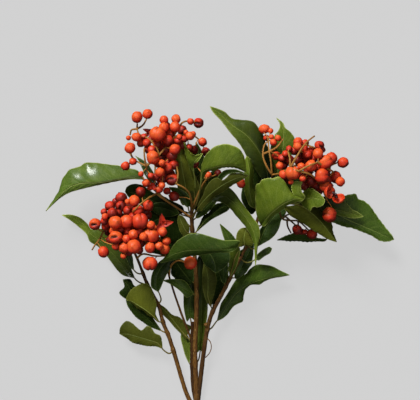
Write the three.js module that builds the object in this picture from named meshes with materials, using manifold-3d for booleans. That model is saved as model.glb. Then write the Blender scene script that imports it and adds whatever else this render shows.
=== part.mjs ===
// A cut pittosporum branch lying on a table: woody stems that fork low down, glossy wavy leaves on short
// stalks, and stalked sprays of orange seed capsules. Millimetres, +Z up, growing towards +Y.
import * as THREE from "three";
import { mergeVertices } from "three/addons/utils/BufferGeometryUtils.js";
import Module from "manifold-3d";

const wasm = await Module();
wasm.setup();

// Driving dimensions. Places are [px, py, z]: the pixel of a 420 by 400 photograph that looks straight
// down at the branch, and the height above the table in mm.
const PIXEL = 1.1; // mm that one pixel covers at the branch's middle height
const MIDDLE_HEIGHT = 45;
const EYE_HEIGHT = 1600;
const PHOTO_CENTRE = [210, 200];
const ORIGIN_PIXEL = [219.7, 272.3];

const SEAT_GAP = 0.3; // between a leaf or fruit stalk and the wood that carries it
const BLADE_HALF_THICKNESS = 0.35;
const LEAF_STALK_RADIUS = 0.85;
const LEAF_TIP_HALF_WIDTH = 0.5;
const MIDRIB_DEPTH = 0.9; // how far the midrib stands out under the blade near its root
const MIDRIB_TAPER = 0.6; // share of that depth lost towards the tip
const BLADE_DROOP = -24; // degrees that a half blade bends down over its width
const MARGIN_RIPPLE = 0.06; // share of the half width that the margin wanders in and out
const RIPPLE_PACE = 8; // radians of that wandering for each wave of the blade
const RIPPLE_OFFSET = 2; // radians between the ripples of the two margins
const WAVE_OFFSET = 1.3; // radians between the waves of the two half blades
const OPENING = 6; // the halves reach their tilt within the first 1/6 of the blade
const STALK_FLATTENING = 8; // the stalk thins out to a blade within the first 1/8 of the blade
const FRUIT_STALK_RADIUS = 0.6;
const SPRAY_STALK_RADIUS = 0.95;
const SPRAY_STALK_TAPER = 0.75; // radius at a fork's end, as a share of the radius at its root
const FORK_SHARES = [0.4, 0.52, 0.64, 0.76, 0.88, 0.98]; // where a shoot can carry capsules
const CAPSULE_SWELL = 1.08; // makes up for a ball's flat facets
const SPRAY_TIER = 13; // mm from one layer of capsules in a spray down to the next
const BUTT_SLANT = 24; // degrees, of the cut through the butt
const SAW_BITE = 4; // how far the cut starts in front of the last place of the butt
const SAW_SIZE = [60, 60, 20]; // block that shapes the butt, larger than the butt all round
const SIDES = { butt: 10, limb: 6, shoot: 4, fruitStalk: 3, capsule: [5, 3] };
const SHOOT_STEPS = 3;

const rad = THREE.MathUtils.degToRad;
const mix = THREE.MathUtils.lerp;

// The point at height z that shows at pixel (px, py)
function at([px, py, z]) {
  const level = (height) => (PIXEL * (EYE_HEIGHT - height)) / (EYE_HEIGHT - MIDDLE_HEIGHT);
  const [eyeX, eyeY] = PHOTO_CENTRE;
  return new THREE.Vector3(
    (eyeX - ORIGIN_PIXEL[0]) * level(0) + (px - eyeX) * level(z),
    (ORIGIN_PIXEL[1] - eyeY) * level(0) - (py - eyeY) * level(z),
    z,
  );
}

// A closed geometry as a solid that can be joined and cut
function solidOf(geometry) {
  const bare = geometry.clone();
  bare.deleteAttribute("normal");
  bare.deleteAttribute("uv");
  const merged = mergeVertices(bare, 1e-4);
  return new wasm.Manifold(
    new wasm.Mesh({
      numProp: 3,
      vertProperties: new Float32Array(merged.attributes.position.array),
      triVerts: new Uint32Array(merged.index.array),
    }),
  );
}

function geometryOf(solid) {
  const mesh = solid.getMesh();
  const geometry = new THREE.BufferGeometry();
  geometry.setAttribute("position", new THREE.BufferAttribute(mesh.vertProperties, 3));
  return geometry.setIndex(new THREE.BufferAttribute(mesh.triVerts, 1));
}

function join(solids) {
  return solids.reduce((whole, piece) => whole.add(piece));
}

// What is left of a solid after a cut, without loose scraps
function mainBody(solid) {
  return solid.decompose().reduce((best, body) => (body.volume() > best.volume() ? body : best));
}

function smooth(places) {
  return new THREE.CatmullRomCurve3(places.map(at), false, "centripetal");
}

// A round stalk along a curve, with radii from its root to its end
function stalk(curve, radii, sides, steps) {
  const tube = new THREE.CylinderGeometry(1, 1, 1, sides, steps);
  const position = tube.attributes.position;
  const frames = curve.computeFrenetFrames(steps, false);
  for (let i = 0; i < position.count; i++) {
    const share = position.getY(i) + 0.5;
    const step = Math.round(share * steps);
    const place = share * (radii.length - 1);
    const before = Math.min(Math.floor(place), radii.length - 2);
    const radius = mix(radii[before], radii[before + 1], place - before);
    const point = curve
      .getPointAt(share)
      .addScaledVector(frames.binormals[step], position.getX(i) * radius)
      .addScaledVector(frames.normals[step], position.getZ(i) * radius);
    position.setXYZ(i, point.x, point.y, point.z);
  }
  return solidOf(tube);
}

// Wood: each limb is a list of places with the limb's radius in mm as the fourth number
const BUTT = [
  [198.6, 438, 4.6, 5.4],
  [198, 420, 4.9, 5.1],
  [197, 404, 5.4, 4.7],
  [196.5, 393, 6.5, 3.4],
];
const LIMBS = {
  centre: [
    [197, 400, 5.5, 2.9],
    [195.8, 378, 8.5, 2.7],
    [195, 350, 14, 2.65],
    [196.3, 318, 21, 2.5],
    [196.5, 290, 27, 2.4],
    [195.3, 262, 33, 2.1],
    [192.6, 236, 39, 2.05],
    [191.9, 220, 43.5, 2.0],
    [191.6, 206, 46.5, 1.4],
  ],
  low: [
    [196, 402, 5, 2.3],
    [193, 388, 5, 2.2],
    [191.8, 366, 7.2, 2.15],
    [191.5, 345, 10, 2.1],
    [191.8, 322, 14, 1.7],
  ],
  thin: [
    [191.5, 340, 11, 1.4],
    [186, 326, 17, 1.2],
    [179, 307, 26, 1.1],
    [172, 286, 31, 1.0],
    [164, 258, 37, 0.8],
  ],
  east: [
    [198, 400, 5.5, 2.6],
    [200.6, 378, 8.5, 2.5],
    [204, 350, 13, 2.5],
    [207.2, 330, 17.3, 2.4],
    [212, 313, 22, 2.4],
    [221, 296, 27, 2.2],
    [229, 280, 31, 2.1],
    [238, 262, 36, 2.0],
    [246, 247, 40, 1.9],
    [253, 234, 42.5, 1.8],
    [258, 218, 44, 1.7],
    [263, 202, 45, 1.6],
    [270, 188, 46, 1.3],
  ],
  snag: [
    [208, 328, 17, 2.3],
    [205.4, 324, 22, 2.0],
  ],
  west: [
    [197.5, 414, 5, 2.7],
    [188, 397, 5.5, 2.3],
    [183, 383, 8, 2.3],
    [176, 359, 13, 2.3],
    [169, 337, 18.5, 2.2],
    [163, 322, 22, 2.1],
    [158.3, 305, 26, 2.0],
    [149, 288, 30.5, 1.7],
    [142.5, 272, 34, 1.6],
    [137, 258, 37, 1.4],
    [131, 246, 39, 1.1],
  ],
  twig_north: [
    [191.8, 218, 44, 1.5],
    [176, 207, 43, 1.3],
    [163, 198, 42, 1.2],
    [155, 187, 42, 1.0],
  ],
  twig_east: [
    [259, 214, 44.3, 1.5],
    [272, 209, 46, 1.3],
    [285, 204, 47, 1.2],
    [297, 202, 49, 1.1],
    [306, 201, 50, 0.9],
  ],
  twig_low: [
    [302, 201.6, 49.6, 1.0],
    [312, 211, 37, 1.0],
    [321, 224, 27, 0.9],
    [328, 236, 21, 0.8],
  ],
};

function limb(places, sides, extra) {
  const radii = places.map((place) => place[3] + extra);
  return stalk(smooth(places), radii, sides, places.length);
}

// All the wood in one piece. The butt is flat beneath, where it lies, and cut at a slant.
function wood(extra) {
  const grown = join(Object.values(LIMBS).map((places) => limb(places, SIDES.limb, extra)));
  const block = new THREE.BoxGeometry(...SAW_SIZE);
  const half = SAW_SIZE[2] / 2;
  const table = solidOf(block.clone().translate(at(BUTT[1]).x, at(BUTT[1]).y, -half - extra));
  const end = at(BUTT[0]);
  const saw = block.rotateX(rad(90)).translate(0, -half, 0).rotateZ(rad(BUTT_SLANT));
  const cut = solidOf(saw.translate(end.x, end.y + SAW_BITE - extra, end.z));
  return grown.add(limb(BUTT, SIDES.butt, extra)).subtract(table).subtract(cut);
}

// Share of the half width that the blade has at share t of its length
function outline(t, widest, sharp) {
  const hump = Math.sin(Math.PI * t ** (Math.log(0.5) / Math.log(widest)));
  return Math.max(hump, 0) ** mix(sharp[0], sharp[1], t);
}

// A leaf from the axis of the wood to its tip. half is the true half width left and right of the midrib,
// tilt is how far each half rises from level at the root and then at the tip, stem is the stalk's share.
function leaf({
  path,
  half,
  tilt,
  wave = 1.5,
  waves = 3,
  phase = 0,
  stem = 0.14,
  widest = 0.46,
  sharp = [0.8, 1.4],
  across = 4,
  along = 9,
  bends = 2,
}) {
  const curve = smooth(path);
  const grid = new THREE.PlaneGeometry(2, 1, across, along);
  const position = grid.attributes.position;
  const up = new THREE.Vector3(0, 0, 1);
  const [left, right, leftEnd = left, rightEnd = right] = tilt;
  const spots = [];
  for (let i = 0; i < position.count; i++) {
    const v = position.getX(i);
    const row = Math.round((position.getY(i) + 0.5) * along);
    const t = Math.max(0, (row - bends) / (along - bends));
    const share = row < bends ? (row * stem) / bends : Math.min(1, mix(stem, 1, t));
    const tangent = curve.getTangentAt(share);
    const side = up.clone().cross(tangent).normalize();
    const over = tangent.clone().cross(side);
    const width = outline(t, widest, sharp);
    const reach = Math.abs(v) * mix(LEAF_STALK_RADIUS, LEAF_TIP_HALF_WIDTH, t);
    const wander = RIPPLE_PACE * waves * t + 2 * phase + (v > 0 ? RIPPLE_OFFSET : 0);
    const ripple = 1 + MARGIN_RIPPLE * Math.sin(wander);
    const blade = Math.abs(v) * (v < 0 ? half[0] : half[1]) * width * ripple;
    const level = v < 0 ? mix(left, leftEnd, t) : mix(right, rightEnd, t);
    const angle = rad(level * Math.min(1, t * OPENING) + (BLADE_DROOP * Math.abs(v)) / 2);
    const sway = 2 * Math.PI * waves * t + phase + (v > 0 ? WAVE_OFFSET : 0);
    const lift = wave * v * v * width * Math.sin(sway);
    const out = (reach + blade) * Math.cos(angle) - lift * Math.sin(angle);
    const point = curve
      .getPointAt(share)
      .addScaledVector(side, v < 0 ? out : -out)
      .addScaledVector(over, (reach + blade) * Math.sin(angle) + lift * Math.cos(angle));
    position.setXYZ(i, point.x, point.y, point.z);
    spots.push([t, v]);
  }
  return thicken(grid, across, along, spots);
}

// How far the leaf stands out from its middle surface, above or below
function thickness([t, v], below) {
  const rib = MIDRIB_DEPTH * (1 - MIDRIB_TAPER * t);
  const blade = below && v === 0 ? rib : BLADE_HALF_THICKNESS;
  return mix(LEAF_STALK_RADIUS, blade, Math.min(1, t * STALK_FLATTENING));
}

// A grid's faces above and below, split alike, with a rim round them
function thicken(grid, across, along, spots) {
  grid.computeVertexNormals();
  const { position, normal } = grid.attributes;
  const count = position.count;
  const points = [];
  for (const below of [false, true])
    for (let i = 0; i < count; i++) {
      const away = new THREE.Vector3().fromBufferAttribute(normal, i);
      const depth = thickness(spots[i], below) * (below ? -1 : 1);
      const point = new THREE.Vector3().fromBufferAttribute(position, i);
      points.push(...point.addScaledVector(away, depth).toArray());
    }
  const faces = Array.from(grid.index.array);
  const index = [...faces];
  for (let i = 0; i < faces.length; i += 3)
    index.push(count + faces[i], count + faces[i + 2], count + faces[i + 1]);
  const row = across + 1;
  const rim = [];
  for (let x = 0; x < across; x++) rim.push(along * row + x);
  for (let y = along; y > 0; y--) rim.push(y * row + across);
  for (let x = across; x > 0; x--) rim.push(x);
  for (let y = 0; y < along; y++) rim.push(y * row);
  rim.forEach((p, i) => {
    const q = rim[(i + 1) % rim.length];
    index.push(p, count + p, q, q, count + p, count + q);
  });
  const geometry = new THREE.BufferGeometry();
  geometry.setAttribute("position", new THREE.Float32BufferAttribute(points, 3));
  return solidOf(geometry.setIndex(index));
}

const LEAVES = {
  west_long: {
    path: [[163, 198, 42], [154, 190, 44], [139, 178, 46], [125, 177.5, 49], [110, 181.5, 52],
      [95, 184, 53], [80, 183.5, 52], [70, 187, 48], [60, 196, 42], [46, 211, 34]],
    half: [20, 22], tilt: [-72, 8], stem: 0.18, widest: 0.5, sharp: [0.6, 1.0], along: 12, bends: 3,
  },
  south_west_long: {
    path: [[147, 285, 31.2], [138, 282, 25], [128, 272, 19], [118, 261, 15], [106, 248, 13],
      [92, 234, 12], [78, 222, 11], [62, 215, 9]],
    half: [13, 14], tilt: [-38, 24], phase: 1, widest: 0.42, along: 11,
  },
  south_west_small: {
    path: [[143.2, 274, 33.7], [137, 273, 40], [132, 267, 45], [129, 258, 48], [125, 247, 48],
      [121, 238, 45]],
    half: [8, 9], tilt: [-20, -10], phase: 2, stem: 0.25, across: 2, along: 7,
  },
  north_west_dark: {
    path: [[191.9, 214, 45], [180, 211, 36], [165, 204, 32], [150, 198, 30], [138, 194, 29],
      [124, 190, 27]],
    half: [13, 11], tilt: [-20, 10], phase: 3, widest: 0.55, sharp: [0.8, 0.7],
  },
  north_west_slim: {
    path: [[191.5, 209, 46.1], [186.5, 204.5, 47], [180, 198, 50], [171, 190.5, 51], [166, 184, 50]],
    half: [5, 6], tilt: [-30, 20], across: 2, along: 7,
  },
  north_west_back: {
    path: [[158.5, 192, 42], [151, 180, 36], [145, 168, 32], [139, 157, 28], [134, 146, 25]],
    half: [10, 11], tilt: [-5, -10], phase: 1.5, across: 2, along: 8,
  },
  north_upright: {
    path: [[191.8, 217, 44.4], [189, 211, 52], [187.3, 200, 58], [185.5, 186, 62], [183.5, 174, 65],
      [181.5, 160, 66], [180.8, 147, 64], [181, 134, 60]],
    half: [10, 10], tilt: [-10, -50], stem: 0.18, phase: 0.5, widest: 0.4, along: 10,
  },
  north_curl: {
    path: [[191.7, 210, 45.9], [196, 205, 45], [196.5, 196, 46.5], [195, 182, 49], [192, 168, 51],
      [189, 154, 51],
      [186.5, 142, 49]],
    half: [7, 9], tilt: [-10, 40], phase: 2.5, across: 2, along: 8,
  },
  north_dark: {
    path: [[191.8, 214.5, 45], [196, 202, 37], [199, 187, 32], [201, 172, 28], [202, 158, 24]],
    half: [11, 10], tilt: [0, -10], phase: 4, across: 2, along: 8,
  },
  north_round: {
    path: [[191.8, 212, 45.6], [196, 205, 54], [199.5, 193, 67], [202, 180, 80], [206, 170, 89],
      [214, 167.5, 92], [222, 166, 93], [232, 165, 90], [240, 167, 84], [246, 172, 76]],
    half: [25, 18], tilt: [4, -80], stem: 0.4, widest: 0.45, sharp: [0.6, 0.75], along: 12, bends: 4,
  },
  north_narrow: {
    path: [[259.5, 213, 44.3], [254, 206, 51], [250, 196, 57], [249, 182, 61], [249, 169, 62],
      [247, 156, 61]],
    half: [12, 12], tilt: [-72, 66], phase: 1, across: 2, along: 9,
  },
  north_east_olive: {
    path: [[191.9, 220, 43.5], [195.5, 213, 57], [203, 202, 72], [213, 192, 80], [226, 183.5, 84],
      [238, 178.5, 84], [248, 176, 81]],
    half: [13, 9], tilt: [10, -50], phase: 2, stem: 0.25, widest: 0.5, along: 12, bends: 3,
  },
  east_dark_upper: {
    path: [[192, 221, 43.3], [198, 216, 46], [205, 208.5, 47], [213, 201, 46], [220, 194, 44]],
    half: [5, 5], tilt: [-20, -20], across: 2, along: 7,
  },
  east_dark_lower: {
    path: [[192.6, 236, 39], [199, 228.5, 42], [206, 221, 42], [215, 214.5, 40], [224, 209, 38],
      [234, 204, 35]],
    half: [8, 8], tilt: [-55, 40], phase: 2, along: 8,
  },
  hanging: {
    path: [[191.8, 216, 44.7], [199, 208.5, 51], [210, 200, 57], [221, 195, 61], [231, 200, 64],
      [240, 210, 65], [247, 220, 64], [253, 232, 62], [256, 246, 58], [255.5, 265, 52]],
    half: [15, 11], tilt: [-6, -10, -20, -30], stem: 0.3, widest: 0.28, sharp: [0.6, 1.9],
      along: 12, bends: 3,
  },
  round_olive: {
    path: [[246, 248, 39.8], [244.5, 243, 46], [243.5, 237, 49], [245, 230, 50], [248, 223, 48]],
    half: [9, 9], tilt: [-15, 0], stem: 0.2, widest: 0.5, sharp: [0.6, 0.6], along: 8,
  },
  front: {
    path: [[229, 280, 31], [231.5, 270, 40], [235.5, 258, 56], [238.5, 249.5, 70], [236, 245.8, 78],
      [228, 247, 82], [215, 249, 84], [200, 249.5, 84], [185, 250.5, 81], [172, 254.5, 75],
      [160, 263, 67]],
    half: [15, 17], tilt: [-70, 12], stem: 0.42, widest: 0.42, sharp: [0.7, 1.1], along: 15, bends: 5,
  },
  middle_dark: {
    path: [[193.4, 243, 37.6], [199, 246, 48], [206, 251, 55], [212, 260, 57], [216, 273, 52]],
    half: [13, 11], tilt: [10, -25], phase: 1, widest: 0.55, sharp: [0.8, 0.8], across: 2, along: 8,
  },
  middle_olive: {
    path: [[213, 311, 22.4], [210, 303, 29], [209.3, 292, 34], [209.5, 280, 38], [210.5, 267, 40],
      [212, 254, 40]],
    half: [8, 7], tilt: [-20, -30], phase: 2, across: 2, along: 8,
  },
  middle_shade: {
    path: [[212.5, 312, 22.2], [213.5, 301, 19.5], [214.5, 287, 18.5], [215.5, 274, 18], [217, 260, 18]],
    half: [12, 8], tilt: [0, -5], phase: 3, across: 2, along: 8,
  },
  middle_slim: {
    path: [[225.5, 287, 28.8], [223.5, 278, 38], [223.5, 270, 43], [225, 261, 46], [228, 251, 46]],
    half: [5, 5], tilt: [-30, -30], across: 2, along: 7,
  },
  east_behind: {
    path: [[230, 278, 31.5], [236, 277, 25], [241, 268, 23], [246, 258, 24], [250, 250, 26],
      [255, 243, 27]],
    half: [8, 8], tilt: [-10, 0], across: 2, along: 7,
  },
  middle_point: {
    path: [[239.5, 259, 36.7], [236, 252.5, 43], [232, 245, 46], [228, 238, 47], [224, 231, 46],
      [220, 224, 44]],
    half: [7, 8], tilt: [-10, -20], stem: 0.1, widest: 0.35, across: 2, along: 7,
  },
  east_small: {
    path: [[240, 258, 37], [246, 262, 33], [252, 261, 32], [258, 257, 34], [265, 252.5, 36],
      [272, 248, 36]],
    half: [4, 4], tilt: [10, 10], widest: 0.6, sharp: [0.8, 0.6], across: 2, along: 7,
  },
  north_big: {
    path: [[265.8, 196.5, 45.4], [266, 186, 41], [265, 172, 45], [260.5, 156, 50], [253, 143.5, 53],
      [245, 135, 54], [235, 126.5, 53], [224, 117.5, 50], [210, 106.5, 45]],
    half: [15, 15], tilt: [-20, 0], stem: 0.14, widest: 0.45, sharp: [0.7, 1.2], phase: 2, along: 12,
  },
  north_tall: {
    path: [[268.6, 190.6, 45.8], [273, 183, 38], [279, 166, 36], [284, 152, 36], [285.5, 140, 36],
      [283, 129, 35], [277, 118, 31]],
    half: [12, 11], tilt: [0, 0], phase: 3, widest: 0.6, along: 9,
  },
  east_fold: {
    path: [[256.4, 224, 43.4], [261.5, 226, 51], [265, 221.5, 62], [270, 214.5, 73], [277, 207.5, 81],
      [285, 202.5, 85], [294, 199.5, 84], [304, 199, 77]],
    half: [33, 14], tilt: [2, -82], stem: 0.25, widest: 0.42, sharp: [1.5, 2.2], along: 14, bends: 4,
  },
  east_piece: {
    path: [[281, 205.6, 46.7], [286, 199.5, 54], [292, 194, 60], [296.5, 187.5, 63], [300, 180, 62]],
    half: [6, 5], tilt: [0, -20], across: 2, along: 7,
  },
  east_curl: {
    path: [[294, 202.5, 48.5], [301, 201, 59], [309, 199, 69], [316, 198, 74], [325, 200, 76]],
    half: [12, 10], tilt: [-10, 0], stem: 0.22, widest: 0.6, sharp: [0.7, 0.5], phase: 2, along: 9,
  },
  east_lower: {
    path: [[288, 203.3, 47.5], [294, 207, 49], [302, 209, 51], [311, 213.5, 52], [319, 220, 50.5],
      [326, 227.5, 48], [332, 235, 44], [337, 243, 40]],
    half: [12, 16], tilt: [-30, -8], stem: 0.12, widest: 0.5, phase: 1, along: 11,
  },
  east_long: {
    path: [[305.7, 201.1, 49.9], [311, 205, 42], [321, 208.5, 35], [336, 214, 32], [350, 220.5, 31],
      [365, 227, 30], [378, 233, 28], [393, 240, 25]],
    half: [26, 20], tilt: [-2, -72], stem: 0.1, widest: 0.54, sharp: [0.8, 0.55], phase: 2, along: 12,
  },
  east_second: {
    path: [[300, 201.8, 49.4], [306, 198.5, 46], [318, 202, 43], [332, 207, 42], [345, 211, 42],
      [355, 214, 41], [364, 216.5, 40]],
    half: [8, 7], tilt: [-4, -20], phase: 3, across: 2, along: 9,
  },
  east_edge: {
    path: [[327.8, 235.6, 21.2], [325, 240, 18], [312, 237.5, 15], [298, 236, 13], [287, 238, 13],
      [277, 240, 14]],
    half: [11, 11], tilt: [68, -68], stem: 0.12, across: 2, along: 9,
  },
  east_under: {
    path: [[247, 245.6, 40.3], [253, 249, 37], [258, 245.5, 35], [262.5, 237, 34], [267.5, 228, 33],
      [273, 220, 33], [278, 212.5, 33], [283, 206, 32]],
    half: [9, 10], tilt: [-35, 0], stem: 0.2, phase: 1, along: 10,
  },
  south_east_big: {
    path: [[207.2, 330, 17.3], [211, 328.5, 16], [216, 322.5, 14], [221, 314.5, 13.5], [229, 303, 14],
      [239, 292, 16], [251, 284, 18], [265, 279, 20], [277, 276.5, 20], [289, 275, 17]],
    half: [18, 16], tilt: [-4, -38], stem: 0.12, widest: 0.48, sharp: [0.8, 1.1], phase: 1, along: 12,
  },
  middle_left: {
    path: [[191.6, 325, 13.6], [190.5, 317, 15], [190, 306, 16], [190.5, 295, 16], [192, 284, 15],
      [194, 272, 13]],
    half: [8, 9], tilt: [-5, -15], phase: 2, across: 2, along: 8,
  },
  middle_tip: {
    path: [[196.5, 296, 26], [190, 292, 34], [183, 286.5, 38], [174, 282, 39], [163, 280, 37]],
    half: [7, 10], tilt: [-20, 5], phase: 1, across: 2, along: 8,
  },
  west_top: {
    path: [[158.2, 304.5, 26.2], [162.2, 300, 32], [160.8, 293, 37], [158, 285, 41], [158.5, 276, 44],
      [162.5, 267, 46], [172, 256, 44]],
    half: [8, 8], tilt: [-20, -10], stem: 0.2, phase: 1, across: 2, along: 9,
  },
  south_west_round: {
    path: [[163, 322, 22], [158, 321.5, 28], [153, 316.5, 32], [147, 311, 34], [140, 306, 34],
      [133, 302, 32],
      [125, 299, 28]],
    half: [9, 21], tilt: [-65, 10], stem: 0.14, widest: 0.6, sharp: [1.1, 0.6], phase: 2, along: 11,
  },
  south_west_dark: {
    path: [[167.6, 333.5, 19.2], [162, 331, 19], [157, 327.5, 19.5], [150, 321, 20], [142, 314.5, 20],
      [134, 307.5, 19], [125, 300, 16]],
    half: [6, 11], tilt: [-10, -5], phase: 3, across: 2, along: 9,
  },
  south_west_back: {
    path: [[151.5, 292, 29.3], [145, 293, 21], [137, 292, 15], [129, 288.5, 11], [121, 281, 8]],
    half: [9, 8], tilt: [-10, -20], phase: 1, across: 2, along: 8,
  },
  west_low: {
    path: [[173.4, 350.5, 14.9], [167.5, 353, 15.5], [162.5, 349.5, 17], [156, 344, 19], [147, 341, 19],
      [138, 338.5, 18.5], [129, 335.5, 16], [118, 334, 12]],
    half: [14, 17], tilt: [-70, 0], stem: 0.16, widest: 0.52, sharp: [0.6, 0.6], phase: 2, along: 11,
  },
  middle_long: {
    path: [[191.6, 341.5, 10.7], [186, 336, 9], [180, 327, 8], [173, 318.5, 8.5], [166, 311, 9],
      [157.5, 303, 10]],
    half: [7, 7], tilt: [-10, -10], phase: 1, sharp: [0.7, 1.0], across: 2, along: 8,
  },
  low_green: {
    path: [[191.8, 367, 7.2], [188.5, 361, 5], [187, 351, 3.6], [186, 341, 3], [185, 331, 2.5]],
    half: [4, 5], tilt: [0, 0], wave: 0.6, across: 2, along: 7,
  },
  low_behind: {
    path: [[195.4, 364, 11.2], [198.5, 360, 7], [200.8, 348, 5], [202, 333, 5.5], [203, 315, 7],
      [203.5, 286, 9]],
    half: [8, 8], tilt: [0, 0], phase: 2, wave: 1, sharp: [0.7, 0.8], across: 2, along: 9,
  },
  middle_back: {
    path: [[196.3, 284, 28.3], [190, 280, 20], [184, 273, 16], [178, 265, 14], [173, 255, 13]],
    half: [12, 12], tilt: [0, -5], phase: 3, across: 2, along: 8,
  },
  back_north: {
    path: [[191.9, 217, 44.3], [200, 204, 32], [208, 190, 25], [214, 177, 20], [218, 164, 17]],
    half: [12, 12], tilt: [-10, 5], phase: 1, across: 2, along: 8,
  },
  back_east: {
    path: [[264, 199.5, 45.2], [272, 196, 34], [284, 187, 25], [298, 178, 19], [314, 172, 16]],
    half: [15, 15], tilt: [-10, 5], phase: 2, along: 9,
  },
  back_middle: {
    path: [[192.8, 238, 38.5], [184, 240, 30], [174, 243, 25], [163, 248, 22], [151, 253, 21]],
    half: [14, 13], tilt: [0, -10], phase: 2, across: 2, along: 8,
  },
  middle_west: {
    path: [[192.2, 231, 40.4], [188, 228.5, 46], [184.5, 223, 48], [181, 217, 47], [179, 211, 46]],
    half: [6, 5], tilt: [0, -20], across: 2, along: 7,
  },
};

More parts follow.
